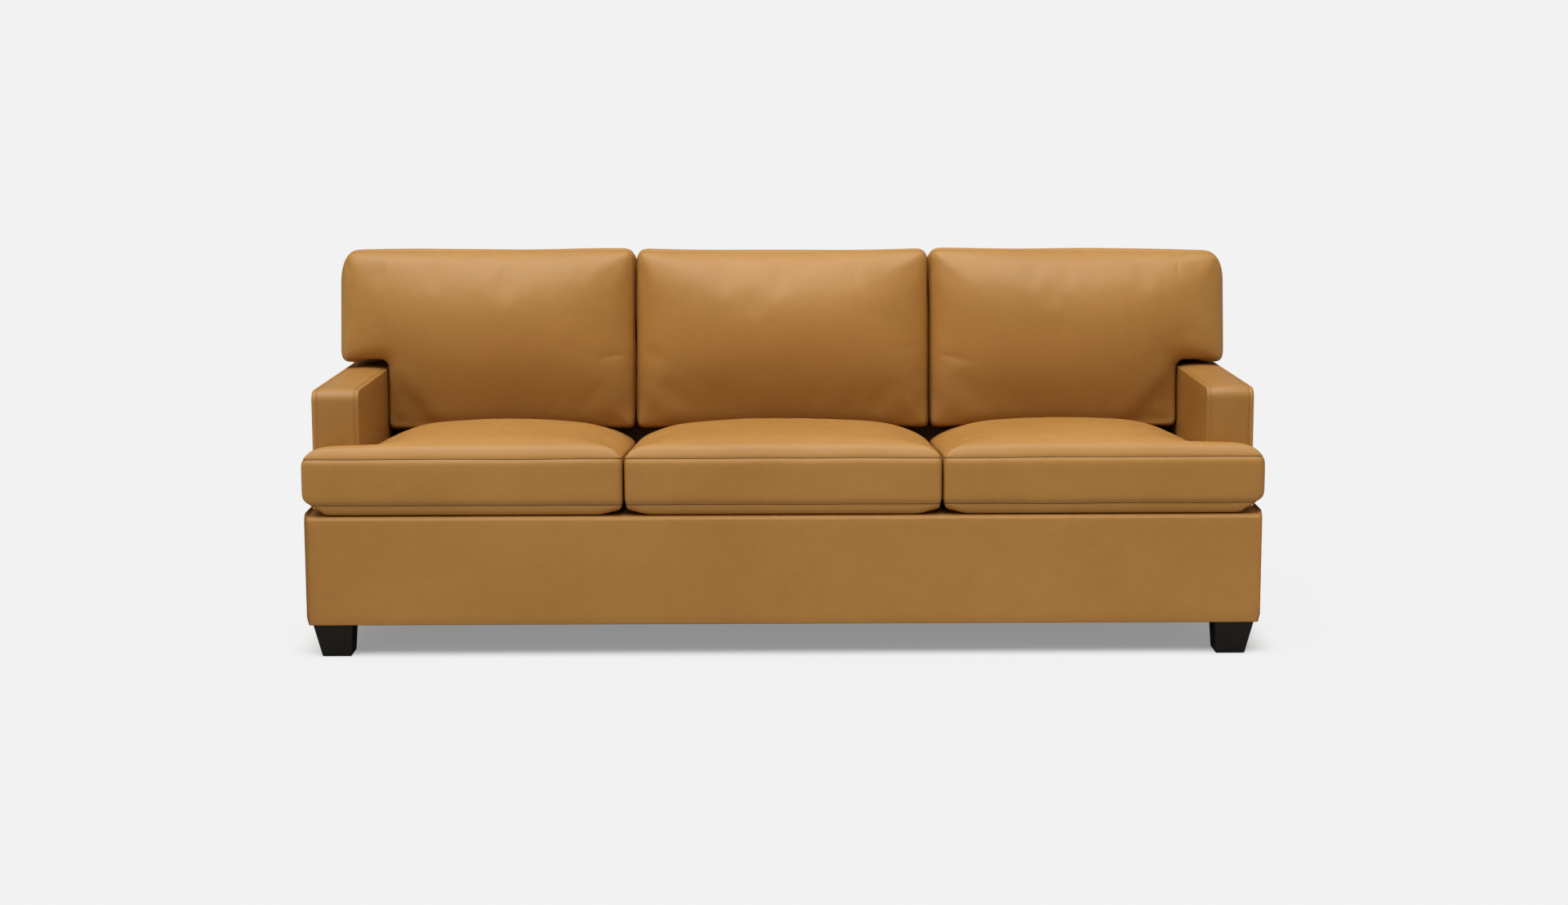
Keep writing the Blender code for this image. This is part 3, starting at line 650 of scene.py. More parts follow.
    def round_notch(self, radius):
        x_side, v_side, cut_x, cut_v = self.notch
        a, b = (self.x - cut_x) * x_side, (self.v - cut_v) * v_side
        on_x_leg = a >= b
        s = np.clip(np.where(on_x_leg, a, b), 0, radius)
        off = np.where(s > 0, np.abs(np.where(on_x_leg, b, a)), np.hypot(a, b))
        angle = np.radians(-90 - 45 * (1 - s / radius))
        shift_along = radius + radius * np.cos(angle) - s
        shift_across = radius + radius * np.sin(angle)
        fade = np.clip(1 - off / (2.5 * radius), 0, 1) ** 2
        fade = np.where(np.where(on_x_leg, a, b) > radius, 0, fade)
        da = np.where(on_x_leg, shift_along, shift_across) * fade
        db = np.where(on_x_leg, shift_across, shift_along) * fade
        self.px += da * x_side
        self.pv += db * v_side

    def build(self, top, bottom, row_shape, bulge, shift=None):
        """Points and faces of the closed cushion, with its seam loops.

        top and bottom give w over the plan, bulge the boxing's swell at an outline point, and shift
        moves plan points by depth.
        """
        index = {}
        points, faces = [], []
        top_w, bottom_w = top(self), bottom(self)
        used = {(i + a, j + b) for i, j in self.cells() for a in (0, 1) for b in (0, 1)}
        used = sorted(used)
        moved = shift or (lambda x, v, w: (x, v))
        for layer, heights in ((0, top_w), (1, bottom_w)):
            for i, j in used:
                index[layer, i, j] = len(points)
                w = heights[i, j]
                points.append((*moved(self.px[i, j], self.pv[i, j], w), w))
        for i, j in self.cells():
            ring = [(i, j), (i + 1, j), (i + 1, j + 1), (i, j + 1)]
            faces.append(tuple(index[0, a, b] for a, b in ring))
            faces.append(tuple(index[1, a, b] for a, b in reversed(ring)))
        outline = np.array([(self.px[i, j], self.pv[i, j]) for i, j in self.loop])
        normals = polyline_normals(outline, True)
        normals /= np.linalg.norm(normals, axis=1, keepdims=True)
        first = [index[0, i, j] for i, j in self.loop]
        last = [index[1, i, j] for i, j in self.loop]
        upper = np.array([top_w[i, j] for i, j in self.loop])
        lower = np.array([bottom_w[i, j] for i, j in self.loop])
        swell = np.array([bulge(*p, *n) for p, n in zip(outline, normals)])
        rows = [first]
        depth = float(np.mean(upper - lower))
        for share in graded(0.0, depth)[2:-2] / depth:
            ring = []
            out = swell * row_shape(share)
            for k in range(len(self.loop)):
                w = upper[k] + (lower[k] - upper[k]) * share
                x, v = outline[k] + normals[k] * out[k]
                ring.append(len(points))
                points.append((*moved(x, v, w), w))
            rows.append(ring)
        rows.append(last)
        for k, (i, j) in enumerate(self.loop):
            for point, way in ((first[k], -1), (last[k], 1)):
                x, v, w = points[point]
                x, v = x - normals[k][0] * SEAM_DEPTH, v - normals[k][1] * SEAM_DEPTH
                points[point] = (x, v, w + way * SEAM_DEPTH * 0.3)
        count = len(self.loop)
        for above, below in zip(rows, rows[1:]):
            for k in range(count):
                following = (k + 1) % count
                faces.append((above[k], below[k], below[following], above[following]))
        self.rows = rows
        self.panel = [(index[0, i, j], i, j) for i, j in used]
        return np.array(points, float), faces


def boxing(share):
    """How far the boxing swells between its seams, 0 to 1."""
    return 1 - abs(2 * share - 1) ** 8


def edge_roll(distance, reach):
    left = 1 - np.clip(distance / reach, 0, 1)
    return np.sqrt(1 - left * left)


def crease_seams(obj, loops):
    creases = obj.data.attributes.new("crease_edge", "FLOAT", "EDGE")
    pairs = {frozenset((a, b)) for loop in loops for a, b in zip(loop, loop[1:] + loop[:1])}
    values = [float(frozenset(e.vertices) in pairs) for e in obj.data.edges]
    creases.data.foreach_set("value", values)


def inflate(obj, free, limit):
    """Blows obj up as cloth.

    free is the share, 0 to 1, by which each point may move. limit caps the movement, of which
    CLOTH_SHARE is kept.
    """
    mesh = obj.data
    rest = np.array([v.co for v in mesh.vertices], float)
    group = obj.vertex_groups.new(name="held")
    for i, share in enumerate(free):
        if share < 0.999:
            group.add([i], float(1 - share), "REPLACE")
    cloth = obj.modifiers.new("cloth", "CLOTH")
    settings = cloth.settings
    settings.quality = 6
    settings.mass = 0.4
    settings.tension_stiffness = 30
    settings.compression_stiffness = 30
    settings.shear_stiffness = 15
    settings.bending_stiffness = 4
    settings.air_damping = 4
    settings.use_pressure = True
    settings.uniform_pressure_force = CLOTH_PRESSURE
    settings.shrink_min = -CLOTH_SPARE
    settings.vertex_group_mass = "held"
    settings.pin_stiffness = 1.0
    settings.effector_weights.gravity = 0
    cloth.collision_settings.use_collision = False
    scene = bpy.context.scene
    scene.frame_start, scene.frame_end = 1, CLOTH_FRAMES
    for step in range(1, CLOTH_FRAMES + 1):
        scene.frame_set(step)
    graph = bpy.context.evaluated_depsgraph_get()
    done = obj.evaluated_get(graph).to_mesh()
    after = np.array([v.co for v in done.vertices], float)
    obj.modifiers.remove(cloth)
    obj.vertex_groups.remove(group)
    scene.frame_set(1)
    move = after - rest
    length = np.linalg.norm(move, axis=1, keepdims=True)
    move *= CLOTH_SHARE * np.minimum(1, limit / np.maximum(length, 1e-9))
    moved = rest + move * np.array(free)[:, None]
    mesh.vertices.foreach_set("co", moved.ravel())
    mesh.update()
    return moved


def plan_noise(p, size, seed):
    """Soft noise at each grid point of the pillow p."""
    flat = [soft_noise((x, v, 0), size, seed) for x, v in zip(np.ravel(p.x), np.ravel(p.v))]
    return np.reshape(flat, np.shape(p.x))


def slack_points(pillow, points, held):
    """Share by which each point of a cushion's upper panel may move as cloth."""
    free = np.zeros(len(points))
    for point, i, j in pillow.panel:
        if not held(pillow.x[i, j], pillow.v[i, j]):
            free[point] = np.clip((pillow.distance[i, j] - 0.004) / 0.03, 0, 1)
    return free


def make_cushion(name, pillow, points, faces, matrix, material, cord, free, limit):
    obj = mesh_object(name, points, faces, material)
    inflate(obj, free, limit)
    rows = pillow.rows
    crease_seams(obj, (rows[0], rows[-1]))
    smooth = obj.modifiers.new("smooth", "SUBSURF")
    smooth.levels = smooth.render_levels = 1
    obj.matrix_world = matrix
    placed = [[matrix @ Vector(points[k]) for k in row] for row in (rows[0], rows[-1])]
    seam_cords(f"{name}_seams", placed, cord, name)
    return obj


def rest_front_edge():
    """(y, z) of the lower front edge of the back cushions."""
    points = [v.co for v in frame["nodes"]["back_cover_centre"].data.vertices]
    foot = min(p.z for p in points)
    front = [p for p in points if p.z < foot + 0.045]
    edge = min(front, key=lambda p: p.y)
    return edge.y, edge.z


PRESS_Y, PRESS_Z = rest_front_edge()


def back_frame():
    """Matrix of the back cushions' own coordinates: x, up the slope, and forwards."""
    points = [v.co for v in frame["nodes"]["back_cover_centre"].data.vertices]
    foot = min(points, key=lambda p: p.z)
    turn = Matrix.Rotation(math.pi / 2 - LEAN, 4, "X")
    return Matrix.Translation((0, foot.y, foot.z)) @ turn


BACK_FRAME = back_frame()


def seat_cushion(place, word):
    low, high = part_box(f"seat_cover_{word}")
    proud, tight = 0.005, 0.001
    x_range = [low.x + tight, high.x - tight]
    notch = None
    if place:
        outer = 0 if place < 0 else 1
        x_range[outer] -= place * (proud - tight)
        notch = (place, 1, place * (ARM_INSIDE - 0.0015), ARM_FRONT - 0.0015)
    v_range = [low.y + proud, high.y - 0.003]
    pillow = Pillow(tuple(x_range), tuple(v_range), notch, lambda x, v: (0.012, 0.014), 0.006)
    seed = place + 3
    depth = v_range[1] - v_range[0]

    def upper_seam(v):
        return SEAT_SEAMS[1] - SEAT_PITCH_DROP * np.clip((v - v_range[0]) / depth, 0, 1)

    def under_back(v):
        """Height to which the back cushion presses the seat down."""
        return PRESS_Z - (v - PRESS_Y) * SLOPE - BACK_SINK - 0.0025

    def top(p):
        slack = 1 - np.clip(p.distance / SEAT_SIDE_ROLL, 0, 1)
        side_roll = 0.2 * edge_roll(p.distance, 0.03) + 0.8 * (1 - slack**2)
        steep = p.distance / SEAT_FRONT_ROLL
        front_roll = steep / (1 + steep**4) ** 0.25
        roll = side_roll + (front_roll - side_roll) * p.front_share
        crown = 0.50 * roll + 0.50 * p.membrane**0.65
        rear = np.clip((p.v - v_range[0]) / depth, 0, 1)
        w = upper_seam(p.v) + SEAT_CROWN * crown + 0.023 * p.membrane**0.6 * rear
        w += 0.0020 * plan_noise(p, 0.17, seed)
        w += 0.0022 * plan_noise(p, 0.24, seed + 1) * np.clip(p.distance / 0.06, 0, 1)
        ceiling = under_back(p.v) + 0.5 * np.clip(PRESS_Y + 0.012 - p.v, 0, 1)
        return np.minimum(w, ceiling)

    def bottom(p):
        across, ahead = (edge_roll(p.distance, reach) for reach in SEAT_FLOOR_ROLLS)
        roll = across + (ahead - across) * p.front_share
        seam = SEAT_SEAMS[0] + 0.001 * plan_noise(p, 0.15, seed + 2)
        before_deck = np.clip((DECK_LOW.y - 0.004 - p.v) / 0.012, 0, 1)
        floor = low.z - SEAT_LAP * before_deck
        from_end = np.minimum(p.x - x_range[0], x_range[1] - p.x)
        tucked = 1 - 0.97 * np.clip(1 - from_end / 0.062, 0, 1) ** 2.2 * p.front_share
        return seam - (seam - floor) * roll * tucked

    def bulge(x, v, nx, nv):
        at_front = v < v_range[0] + 0.03
        at_outer = place and abs(x) > abs(x_range[outer]) - 0.03
        amount = 0.0007
        if at_front:
            amount += (proud - amount) * max(0.0, -nv) ** 2
        if at_outer:
            amount += (proud - amount) * max(0.0, nx * place) ** 2
        if at_front:
            amount += 0.0009 * soft_noise((x, v, 0), 0.11, seed + 5)
        return amount

    def shift(x, v, w):
        """Draws the lower edge in at the two front corners."""
        sunk = np.clip((SEAT_DRAW_TOP - w) / 0.026, 0, 1.3) ** 1.5
        near = math.exp(-(((v - v_range[0]) / 0.07) ** 2))
        for end, sign in ((x_range[0], -1), (x_range[1], 1)):
            reach = math.exp(-(((x - end) / 0.03) ** 2))
            x -= sign * SEAT_CORNER_DRAW * sunk * near * reach * (1.0 if sign == place else 0.05)
        return x, v

    def held(x, v):
        """Under the back cushion the seat can't swell."""
        return v > PRESS_Y - 0.03

    points, faces = pillow.build(top, bottom, boxing, bulge, shift)
    free = slack_points(pillow, points, held)
    name = f"seat_cushion_{word}"
    flat = Matrix.Identity(4)
    obj = make_cushion(name, pillow, points, faces, flat, LEATHER, 0.0009, free, 0.006)
    finish_piece(obj, name, "leather", f"seat_cover_{word}", f"seat_core_{word}", padded=0.85)


def back_cushion(place, word):
    low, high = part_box(f"back_cover_{word}")
    origin = BACK_FRAME.translation
    solid = frame["nodes"]["back_cover_centre"].data
    rise = max((BACK_FRAME.inverted() @ vertex.co).y for vertex in solid.vertices)
    proud, tight = 0.008, 0.0024
    x_range = [low.x + tight, high.x - tight]
    v_range = [-BACK_SINK, rise + 0.001]
    front_seam = BACK_SEAMS[1]

    def wing_foot(w):
        height = WING_FOOT - WING_DROP * (place > 0) - origin.z
        return (height - w * math.sin(LEAN)) / math.cos(LEAN)

    notch = None
    if place:
        outer = 0 if place < 0 else 1
        x_range[outer] += place * tight
        notch = (place, -1, place * (ARM_INSIDE - 0.003), wing_foot(front_seam))

    def corner_radii(x_sign, v_sign):
        if x_sign == place:
            return (0.033, 0.072) if v_sign > 0 else (0.012, 0.020)
        return (0.022, 0.026) if v_sign > 0 else (0.013, 0.020)

    pillow = Pillow(tuple(x_range), tuple(v_range), notch, corner_radii, 0.022)
    seed = place + 11

    def radial_ridges(p):
        """Shallow pulls that fan out of the corners."""
        total = np.zeros_like(p.x)
        for number, ((cx, cv), sides) in enumerate(p.convex_corners()):
            away = np.hypot(p.x - cx, p.v - cv)
            angle = np.arctan2((cv - p.v) * sides[1], (cx - p.x) * sides[0])
            pull = np.sin(angle * 9 + seed + 2.1 * number) * np.exp(-(((away - 0.07) / 0.05) ** 2))
            total += 0.0011 * pull * np.clip(p.distance / 0.02, 0, 1)
        return total

    def folds(p):
        """Soft pleats where the lower corners are pulled in, deepest beside an arm."""
        total = np.zeros_like(p.x)
        for side, end in ((-1, x_range[0]), (1, x_range[1])):
            by_arm = side == place
            foot = place * (ARM_INSIDE - 0.003) if by_arm else end
            run, climb, depth = (0.115, 0.15, 0.013) if by_arm else (0.075, 0.085, 0.004)
            inward = (foot - p.x) * side
            past = (inward / run + p.v / climb - 1) * min(run, climb) * 0.7
            corner = 0.5 - 0.5 * np.tanh(past / 0.012)
            fade = np.clip((p.v + BACK_SINK) / 0.014, 0, 1) * np.clip(1.25 - p.v / climb, 0, 1)
            total -= depth * corner * fade * np.clip(inward / 0.02, 0, 1)
        return total

    def top(p):
        skew = 1 + 0.50 * (2 * p.v / v_range[1] - 1)  # fullest above its middle
        crown = 0.30 * edge_roll(p.distance, 0.045) + 0.70 * p.membrane**1.05 * skew
        w = front_seam + BACK_CROWN * crown
        w += 0.0015 * plan_noise(p, 0.12, seed) + folds(p)
        w += radial_ridges(p)
        w += 0.0045 * plan_noise(p, 0.36, seed + 2) * np.clip(p.distance / 0.08, 0, 1)
        return w + 0.0045 * plan_noise(p, 0.20, seed + 1) * np.clip(p.distance / 0.06, 0, 1)

    def bottom(p):
        roll = edge_roll(p.distance, 0.04)
        return BACK_SEAMS[0] * (1 - roll) + 0.001

    def shift(x, v, w):
        """Keeps a wing's underside level, though the cushion leans, and lets the top line sag."""
        share = (x - x_range[0]) / (x_range[1] - x_range[0])
        in_middle = 0.001 + 0.005 * math.sin(math.pi * np.clip(share, 0, 1))
        sag = (0.0, in_middle, 0.010 * share)[place + 1]
        v -= sag * float(np.clip((v - v_range[1] + 0.14) / 0.14, 0, 1)) ** 2
        if not place:
            return x, v
        beyond = np.clip((x * place - ARM_INSIDE + 0.06) / 0.06, 0, 1)
        gap = v - wing_foot(front_seam)
        near = math.exp(-((max(gap - 0.01, 0) / 0.07) ** 2) - (min(gap, 0) / 0.05) ** 2)
        return x, v + beyond * near * (front_seam - w) * SLOPE

    def bulge(x, v, nx, nv):
        uneven = 0.0030 * soft_noise((0, v, 0.5 if nx > 0 else -0.5), 0.09, seed + 3)
        amount = 0.0012 + (0.0018 + uneven) * abs(nx)
        if place and abs(x) > abs(x_range[outer]) - 0.05:
            amount += (proud - amount) * max(0.0, nx * place) ** 2
            if v > 0.05:
                amount += 0.008 * max(0.0, -nv) ** 2
        if v > v_range[1] - 0.05:
            uneven = 0.0045 * soft_noise((x, 0, 0), 0.26, seed)
            amount += (proud - amount + uneven) * max(0.0, nv) ** 2
        return amount

    points, faces = pillow.build(top, bottom, boxing, bulge, shift)
    free = slack_points(pillow, points, lambda x, v: v < 0.02)
    name = f"back_cushion_{word}"
    obj = make_cushion(name, pillow, points, faces, BACK_FRAME, BACK_LEATHER_PAINTED_SHADE, 0.0006, free, 0.009)
    finish_piece(obj, name, "leather", f"back_cover_{word}", f"back_core_{word}", padded=0.75)


# Leather over the frame


def rolled_panel(name, outline, matrix, roll, bulge, material, cell=0.035):
    """A taut leather panel over an anticlockwise outline, rolled over at its edge.

    The outline lies in the matrix's XY plane; the panel rises along its Z by roll, plus bulge.
    """
    points = spaced(list(outline) + [outline[0]], 0.03)[:-1]
    inwards = -polyline_normals(points, True)
    flat = np.array(points, float)
    profile = [(0.0015, -LIP), (0.0, -0.0008)]
    angles = np.linspace(0, math.pi / 2, 7)
    profile += [(roll * (1 - math.cos(a)), roll * math.sin(a)) for a in angles]
    bm = bmesh.new()
    rings = []
    for inset, height in profile:
        ring = flat + inwards * inset
        rings.append([bm.verts.new((p[0], p[1], height)) for p in ring])
    count = len(flat)
    for lower, upper in zip(rings, rings[1:]):
        for i in range(count):
            j = (i + 1) % count
            bm.faces.new((lower[i], lower[j], upper[j], upper[i]))
    bm.faces.new(rings[-1])
    bm.faces.new(rings[0][::-1])
    edge = flat + inwards * roll
    for axis in (0, 1):
        low, high = edge[:, axis].min(), edge[:, axis].max()
        lines = np.linspace(low, high, max(2, round((high - low) / cell)) + 1)[1:-1]
        way = Vector((1, 0, 0)) if axis == 0 else Vector((0, 1, 0))
        for line in lines:
            top = [f for f in bm.faces if all(v.co.z > roll - 1e-6 for v in f.verts)]
            edges = {e for f in top for e in f.edges}
            verts = {v for f in top for v in f.verts}
            bmesh.ops.bisect_plane(
                bm, geom=[*top, *edges, *verts], dist=1e-5, plane_co=way * float(line), plane_no=way
            )
    following = np.roll(edge, -1, 0)
    for vertex in bm.verts:
        if vertex.co.z < roll - 1e-6:
            continue
        place = np.array(vertex.co[:2])
        along = following - edge
        share = ((place - edge) * along).sum(1) / np.maximum((along * along).sum(1), 1e-12)
        foot = edge + along * np.clip(share, 0, 1)[:, None]
        distance = np.linalg.norm(place - foot, axis=1).min()
        swell = 1 - (1 - min(distance / 0.12, 1)) ** 2
        unevenness = 0.25 * soft_noise((*place, 0), 0.2, len(name))
        vertex.co.z += bulge * swell * (1 + unevenness)
    mesh = bpy.data.meshes.new(name)
    bm.to_mesh(mesh)
    bm.free()
    obj = dressed(name, mesh, material)
    mesh.transform(matrix)
    if matrix.determinant() < 0:
        mesh.flip_normals()
    return obj


def side_matrix(x, side):
    """Places a panel drawn in (y, z) at x, rising towards side."""
    return Matrix(((0, 0, side, x), (1, 0, 0, 0), (0, 1, 0, 0), (0, 0, 0, 1)))


def arm_path(inset, low):
    """The arm's outline in (y, z) from its foot up its front and back along its top."""
    front, top = ARM_FRONT + inset, ARM_TOP - inset
    radius = ARM_CORNER - inset
    path = [(front, low)]
    path += arc((front + radius, top - radius), radius, 180, 90, 8)
    path.append((back_face(top), top - ARM_FALL))
    return path


def arm_strip(side, word):
    """The strip of leather that runs up the front of an arm and back along its top."""
    path = spaced(arm_path(0.0, ARM_LOW.z + 0.001), 0.02)
    normals = -polyline_normals(path, False)
    flat = np.array(path)
    inner = ARM_INSIDE + SEAM_GAP + 0.004
    outer = HALF_WIDTH - ARM_SEAM_IN - SEAM_GAP
    width = outer - inner
    steps = (0.0, 0.0006, 0.002, 0.0045, 0.008, 0.013, 0.020, 0.032)
    places = sorted({*steps, *(width - s for s in steps), *np.linspace(0.04, width - 0.04, 3)})
    points = []
    section = [(0.0, -LIP)]
    for s in places:
        edge = min(s, width - s)
        drop = 0.0042 * (1 - float(edge_roll(edge, 0.0065)))
        crown = ARM_CROWN * (1 - (2 * s / width - 1) ** 2)
        section.append((s, crown - drop - 0.001))
    section.append((width, -LIP))
    count = len(section)
    for p, n in zip(flat, normals):
        for s, height in section:
            y, z = p + n * height
            points.append((side * (inner + s), y, z))
    faces = skin(0, len(flat), count)
    obj = mesh_object(f"arm_strip_{word}", points, faces, ARM_LEATHER_PAINTED_SHADE)
    face_outwards(obj)
    finish_piece(obj, "frame", "leather", f"arm_cover_{word}")
    runs = []
    for s in (0.0062, width - 0.0062):
        height = ARM_CROWN * (1 - (2 * s / width - 1) ** 2) - 0.001
        line = [(side * (inner + s), *(p + n * height)) for p, n in zip(flat, normals)]
        runs.append((line, [(0, *n) for n in normals], False))
    stitches(f"arm_stitches_{word}", runs, "frame")
    rear = (back_face(ARM_TOP) - 0.012, ARM_TOP - ARM_FALL - 0.0024)
    sunk = spaced(arm_path(0.0024, ARM_LOW.z + 0.002)[:-1] + [rear], 0.02)
    places = (side * (ARM_INSIDE + 0.0046), side * (HALF_WIDTH - PANEL_ROLL - 0.0012))
    lines = [[(x, y, z) for y, z in sunk] for x in places]
    seam_cords(f"arm_seams_{word}", lines, 0.0012, "frame", False)


def leather_panels():
    for side, word in SIDES:
        arm_strip(side, word)
        low = ARM_LOW.z + 0.002
        outline = arm_path(0.0012, low) + [(back_face(low), low)]
        roll = 0.004
        matrix = side_matrix(side * (ARM_INSIDE + 0.0005 + roll), -side)
        inner = rolled_panel(f"arm_inner_{word}", outline[::-1], matrix, roll, 0.0015, ARM_LEATHER_PAINTED_SHADE)
        finish_piece(inner, "frame", "leather", f"arm_cover_{word}")
        side_panel(side, word)


def side_panel(side, word):
    bottom, top, rear = SIDE_LOW.z, SIDE_HIGH.z, SIDE_HIGH.y
    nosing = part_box("deck_pad")[0].z - 0.001
    outline = [(SIDE_LOW.y + 0.012, bottom), (rear, bottom), (rear, top - 0.012)]
    outline += arc((rear - 0.012, top - 0.012), 0.012, 0, 90, 5)[1:]
    outline += [(back_face(top) + 0.022, top)]
    slope_top = (back_face(top - 0.02), top - 0.02)
    outline += [(back_face(top) + 0.006, top - 0.004), slope_top]
    outline += [(back_face(ARM_TOP + 0.010), ARM_TOP + 0.010)]
    outline += [(back_face(ARM_TOP) - 0.010, ARM_TOP - ARM_FALL)]
    outline += arm_path(0.0008, nosing)[::-1][1:]
    outline += [(SIDE_LOW.y, nosing), (SIDE_LOW.y, bottom + 0.012)]
    outline += [(SIDE_LOW.y + 0.004, bottom + 0.004)]
    matrix = side_matrix(side * (HALF_WIDTH - PANEL_ROLL - 0.001), side)
    panel = rolled_panel(f"side_{word}", outline, matrix, PANEL_ROLL, PANEL_BULGE, LEATHER)
    finish_piece(panel, "frame", "leather", f"side_panel_{word}")


def swept_along_x(name, profile, ends, end_round, outer, material):
    """A closed (y, z) profile swept along X; its outer points draw in by end_round at both ends."""
    flat = np.array(profile, float)
    normals = polyline_normals(flat, True)
    normals[~np.array(outer)] = 0
    at_foot = np.array(outer) & (flat[:, 1] < flat[:, 1].min() + 0.0035)
    normals[at_foot] = (-1, 0)
    low, high = ends
    angles = np.linspace(0, math.pi / 2, 7)
    stations = [
        (low + end_round * (1 - math.cos(a)), end_round * (1 - math.sin(a))) for a in angles
    ]
    stations += [(x, 0.0) for x in np.linspace(low + end_round, high - end_round, 90)[1:-1]]
    stations += [(high + low - x, inset) for x, inset in stations[:7][::-1]]
    points = [(x, y, z) for x, inset in stations for y, z in flat - normals * inset]
    faces = skin(0, len(stations), len(flat))
    obj = mesh_object(name, points, faces, material)
    face_outwards(obj)
    return obj


def apron():
    front, low, top = APRON_LOW.y, APRON_LOW.z, APRON_HIGH.z - SEAT_LAP
    rear, under = APRON_HIGH.y, DECK_LOW.z
    inner = SIDE_LOW.y - 0.0008
    profile = [(front + 0.020, low), (front + 0.003, low)]
    profile += arc((front + 0.003, low + 0.003), 0.003, 270, 180, 3)[1:]
    face = [(front, low + 0.003), (front, top - APRON_ROLL)]
    profile += spaced(face, 0.02)[1:-1]
    profile += arc((front + APRON_ROLL, top - APRON_ROLL), APRON_ROLL, 180, 90, 8)
    profile += spaced([(front + APRON_ROLL, top), (rear, top)], 0.02)[1:]
    outer_count = len(profile)
    profile += [(rear, under), (inner, under), (inner, low + 0.004), (front + 0.020, low + 0.004)]
    outer = [True] * outer_count + [False] * 4
    outer[0] = False
    outer[outer_count - 1] = False
    obj = swept_along_x("apron", profile, (-HALF_WIDTH, HALF_WIDTH), APRON_END, outer, LEATHER)
    finish_piece(obj, "frame", "leather", "apron_cover")


def back_leather():
    top, rear = BACK_HIGH.z, REAR_LOW.y - 0.0005
    foot = BACK_LOW.z
    radius = 0.015
    centre = (back_face(top - radius) + radius / math.cos(LEAN), top - radius)
    profile = spaced([(back_face(foot), foot), (back_face(top - radius), top - radius)], 0.03)
    profile += arc(centre, radius, 180 - math.degrees(LEAN), 90, 7)
    profile += spaced([(centre[0], top), (rear - 0.006, top)], 0.03)[1:]
    profile += arc((rear - 0.006, top - 0.006), 0.006, 90, 0, 4)[1:]
    outer_count = len(profile)
    profile += [(rear, top - 0.014), (back_face(top) + 0.010, top - 0.014)]
    profile += [(back_face(foot) + 0.010, foot)]
    outer = [True] * outer_count + [False] * 3
    half = HALF_WIDTH - PANEL_ROLL - 0.0018
    obj = swept_along_x("inside_back", profile, (-half, half), 0.003, outer, LEATHER)
    finish_piece(obj, "frame", "leather", "inside_back_cover")

    outline = rounded_outline(-HALF_WIDTH, HALF_WIDTH, REAR_LOW.z, REAR_HIGH.z, 0.010, 5)
    outline = [(-x, z) for x, z in outline][::-1]
    roll = 0.008
    y = REAR_HIGH.y - roll - 0.001
    matrix = Matrix(((-1, 0, 0, 0), (0, 0, 1, y), (0, 1, 0, 0), (0, 0, 0, 1)))
    panel = rolled_panel("outside_back", outline, matrix, roll, 0.003, LEATHER, 0.05)
    finish_piece(panel, "frame", "leather", "outside_back_panel")
    ring = np.array(spaced(outline + [outline[0]], 0.03)[:-1])
    ring = ring - polyline_normals(ring, True) * 0.014
    line = [(-x, REAR_HIGH.y - 0.0008, z) for x, z in ring]
    stitches("outside_back_stitches", [(line, [(0, 1, 0)] * len(line), True)], "frame")


def deck():
    """The felt pad over the springs, which shows when a seat cushion is taken away."""
    low, high = DECK_LOW, DECK_HIGH
    outline = rounded_outline(low.x, high.x, low.y, high.y, 0.012, 4)
    roll = 0.005
    matrix = Matrix.Translation((0, 0, high.z - roll - 0.0015))
    pad = rolled_panel("deck_felt", outline, matrix, roll, 0.0012, FELT, 0.05)
    finish_piece(pad, "frame", "deck_felt", "deck_pad", padded=0.95)


# Zips


BLOCK_FACES = ((0, 1, 3, 2), (4, 6, 7, 5), (0, 4, 5, 1), (2, 3, 7, 6), (0, 2, 6, 4), (1, 5, 7, 3))


def make_zip(name, body, start, along, out):
    """Two cloth tapes with a coil of teeth between them and a slider at the far end."""
    start, along, out = (np.array(a, float) for a in (start, along, out))
    across = np.cross(out, along)
    verts, faces = [], []

    def block(centre, half, bevel=0.0):
        base = len(verts)
        for a in (-1, 1):
            for b in (-1, 1):
                for c in (-1, 1):
                    shrink = 1 - bevel * (c > 0)
                    flat = along * half[0] * a * shrink + across * half[1] * b * shrink
                    verts.append(centre + flat + out * half[2] * c)
        for quad in BLOCK_FACES:
            faces.append(tuple(base + i for i in quad))

    for side in (-1, 1):
        count = int(ZIP_LENGTH / 0.02)
        for k in range(count):
            sag = 0.0002 * math.sin(k * 1.7 + side)
            middle = start + along * (k + 0.5) * ZIP_LENGTH / count + across * side * 0.0065
            block(middle + out * sag, (ZIP_LENGTH / count / 2, 0.0050, 0.0004))
    tapes = mesh_object(f"{name}_tape", verts, faces, ZIP_TAPE)
    face_outwards(tapes)
    finish_piece(tapes, body, "dust_cloth")
    verts, faces = [], []
    for k in range(int(ZIP_LENGTH / TOOTH_PITCH)):
        side = 1 if k % 2 else -1
        middle = start + along * (k + 0.5) * TOOTH_PITCH + across * side * 0.0009 + out * 0.0004
        block(middle, (0.0008, 0.0016, 0.0006), 0.3)
    end = start + along * (ZIP_LENGTH - 0.012)
    block(end + out * 0.0012, (0.0055, 0.0042, 0.0014), 0.25)
    block(end + out * 0.0032, (0.0022, 0.0010, 0.0010), 0.2)
    block(end - along * 0.012 + out * 0.0034, (0.0110, 0.0026, 0.0006), 0.15)
    metal = mesh_object(f"{name}_teeth", verts, faces, ZINC)
    face_outwards(metal)
    finish_piece(metal, body, "zinc_steel")


